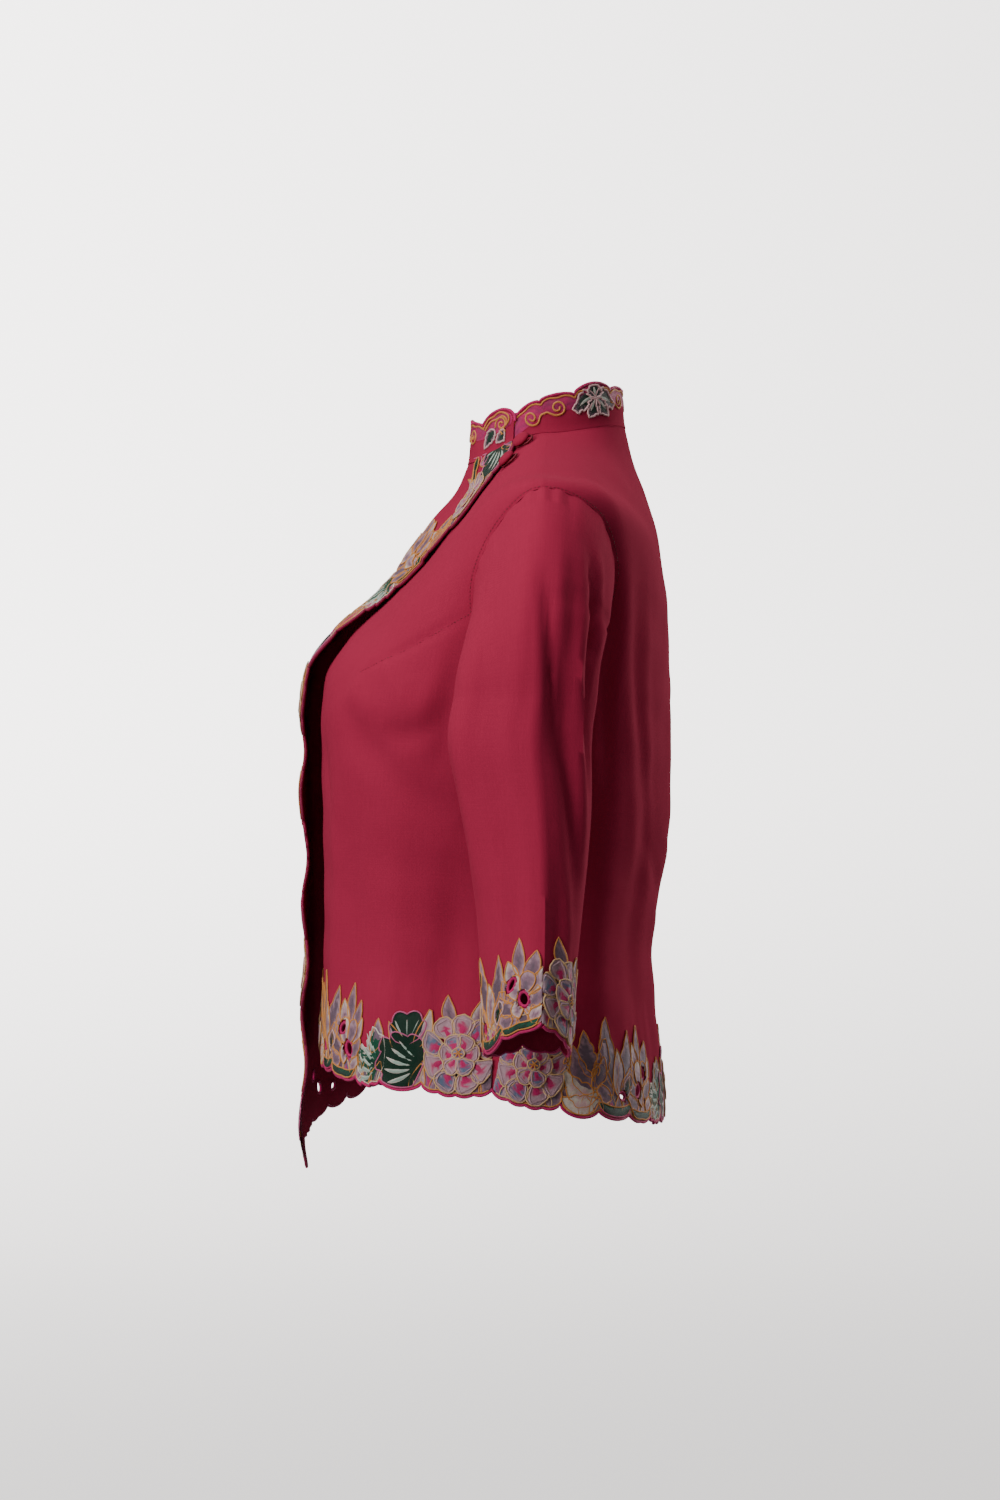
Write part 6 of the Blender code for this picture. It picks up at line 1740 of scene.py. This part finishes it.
# Covered buttons and the loops round their shanks
fastening = {
    "radius": 0.0074, "height": 0.0050, "waist": 0.0030, "brim": 0.0012, "shank": 0.0022,
    "levels": (-0.0460, -0.0200), "setback": 0.0078, "rings": 18, "sides": 48, "wrinkle": 0.00016,
    # the loops: thread radius, half the width between their legs, how far they stand past the button
    "loopRadius": 0.0009, "loopHalf": 0.0048, "loopPast": 0.0016, "loopLift": 0.0006, "loopSides": 12,
    "loopTint": dye(120, 20, 40), "loopTwist": 0.35,
    # how far back each leg reaches, and its width against loopHalf
    "legs": ((-0.0050, 0.9), (-0.0036, 1.0), (-0.0018, 1.05)), "bendSteps": 24,
}


def buttonPlaces():
    places = []
    for level in fastening["levels"]:
        angle = float(solidEdge[np.abs(solidEdge[:, 1] - level) < fastening["radius"], 0].max())
        here = bodyNet.at(angle, level)
        beside, below = bodyNet.at(angle + 4.0, level), bodyNet.at(angle, level + 0.004)
        along, across = below - here, beside - here
        normal = np.cross(along, across)
        normal /= np.linalg.norm(normal)
        away = across - along * (across @ along) / (along @ along)
        away /= np.linalg.norm(away)
        turn = angle + fastening["setback"] / (np.linalg.norm(across) / 4.0)
        places.append((bodyNet.at(turn, level), normal, away))
    return places


def coveredButton(name, centre, normal, away):
    radius, height, waist = fastening["radius"], fastening["height"], fastening["waist"]
    brim = fastening["brim"]
    profile = []
    for k in range(fastening["rings"] + 1):
        turn = math.radians(90 - 90 * k / fastening["rings"])
        profile.append((radius * math.cos(turn), waist + brim + (height - brim) * math.sin(turn)))
    profile += [(radius * 0.985, waist + 0.0006), (radius * 0.93, waist + 0.0002), (radius * 0.6, waist),
                (fastening["shank"], waist), (fastening["shank"], 0.0002)]
    side = np.cross(normal, away)
    sides = fastening["sides"]
    points = [centre + normal * profile[0][1]]
    for r, z in profile[1:]:
        for k in range(sides):
            turn = 2 * math.pi * k / sides
            pull = fastening["wrinkle"] * math.sin(turn * 13 + math.sin(turn * 4)) * (r / radius) ** 6
            points.append(centre + (away * math.cos(turn) + side * math.sin(turn)) * (r + pull)
                          + normal * (z + pull))
    faces = turnedFaces(len(profile) - 1, sides)
    last = 1 + (len(profile) - 2) * sides
    faces.append(tuple(range(last, last + sides)))
    mesh = newMesh(name, points, faces)
    plan = mesh.uv_layers.new(name="clothPlan")
    for corner in mesh.loops:
        rel = np.array(mesh.vertices[corner.vertex_index].co) - centre
        plan.data[corner.index].uv = (rel @ away, rel @ side)
    mesh.shade_smooth()
    return newPiece(name, mesh, buttonMaterial)


def rouleauLoop(name, centre, normal, away):
    side = np.cross(normal, away)
    reach, half = fastening["radius"] + fastening["loopPast"], fastening["loopHalf"]
    path = [(back, -half * share) for back, share in fastening["legs"]]
    for k in range(fastening["bendSteps"] + 1):
        turn = math.radians(-90 + 180 * k / fastening["bendSteps"])
        path.append((reach - half + half * math.cos(turn), half * math.sin(turn)))
    path += [(back, half * share) for back, share in reversed(fastening["legs"])]
    lift = fastening["loopRadius"] + fastening["loopLift"]
    points = np.array([centre + away * x + side * y + normal * (lift - (x * x + y * y) * 2.0)
                       for x, y in path])
    run = np.concatenate([[0], np.cumsum(np.linalg.norm(np.diff(points, axis=0), axis=1))])
    source = threadMesh(name, points, (), [(k, k + 1) for k in range(len(points) - 1)],
                        np.tile(fastening["loopTint"], (len(points), 1)), run * fastening["loopTwist"])
    return grown(name, source, cords, {
        "Cord radius": fastening["loopRadius"], "Sides": fastening["loopSides"], "Finish": cordMaterial})


buttons, loops = [], []
for number, (centre, normal, away) in enumerate(buttonPlaces(), 1):
    buttons.append(coveredButton(f"coveredButton{number}", centre, normal, away))
    loops.append(rouleauLoop(f"rouleauLoop{number}", centre, normal, away))
print("buttons and loops made")

# Hand over: what stands for which solid, its needlework, whether it hangs or is folded, and what it rides on.
# Every piece is attached to the root; the last two columns are listed but not read
backCloth, leftFrontCloth, rightFrontCloth, collarPiece, leftSleeveCloth, rightSleeveCloth = clothPieces
stands = (
    (backCloth, ("back",), "back", "hung", ()),
    (leftFrontCloth, ("left_front",), "leftFront", "hung", (backCloth,)),
    (rightFrontCloth, ("right_front",), "rightFront", "hung", (backCloth,)),
    (collarPiece, ("collar",), "collar", "folded", (rightFrontCloth,)),
    (leftSleeveCloth, ("left_sleeve_front", "left_sleeve_back"), "leftSleeve", "hung", (backCloth,)),
    (rightSleeveCloth, ("right_sleeve_front", "right_sleeve_back"), "rightSleeve", "hung", (backCloth,)),
)
for piece, nodes, workName, held, holds in stands:
    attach(piece, "root")
    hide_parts(*nodes)
    trims = needlePieces[workName]
    for trim in trims:
        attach(trim, "root")
for piece, node in zip(buttons + loops, ("button_1", "button_2", "loop_1", "loop_2")):
    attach(piece, "root")
    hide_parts(node)
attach(seamStitches, "root")
print("pieces handed over")
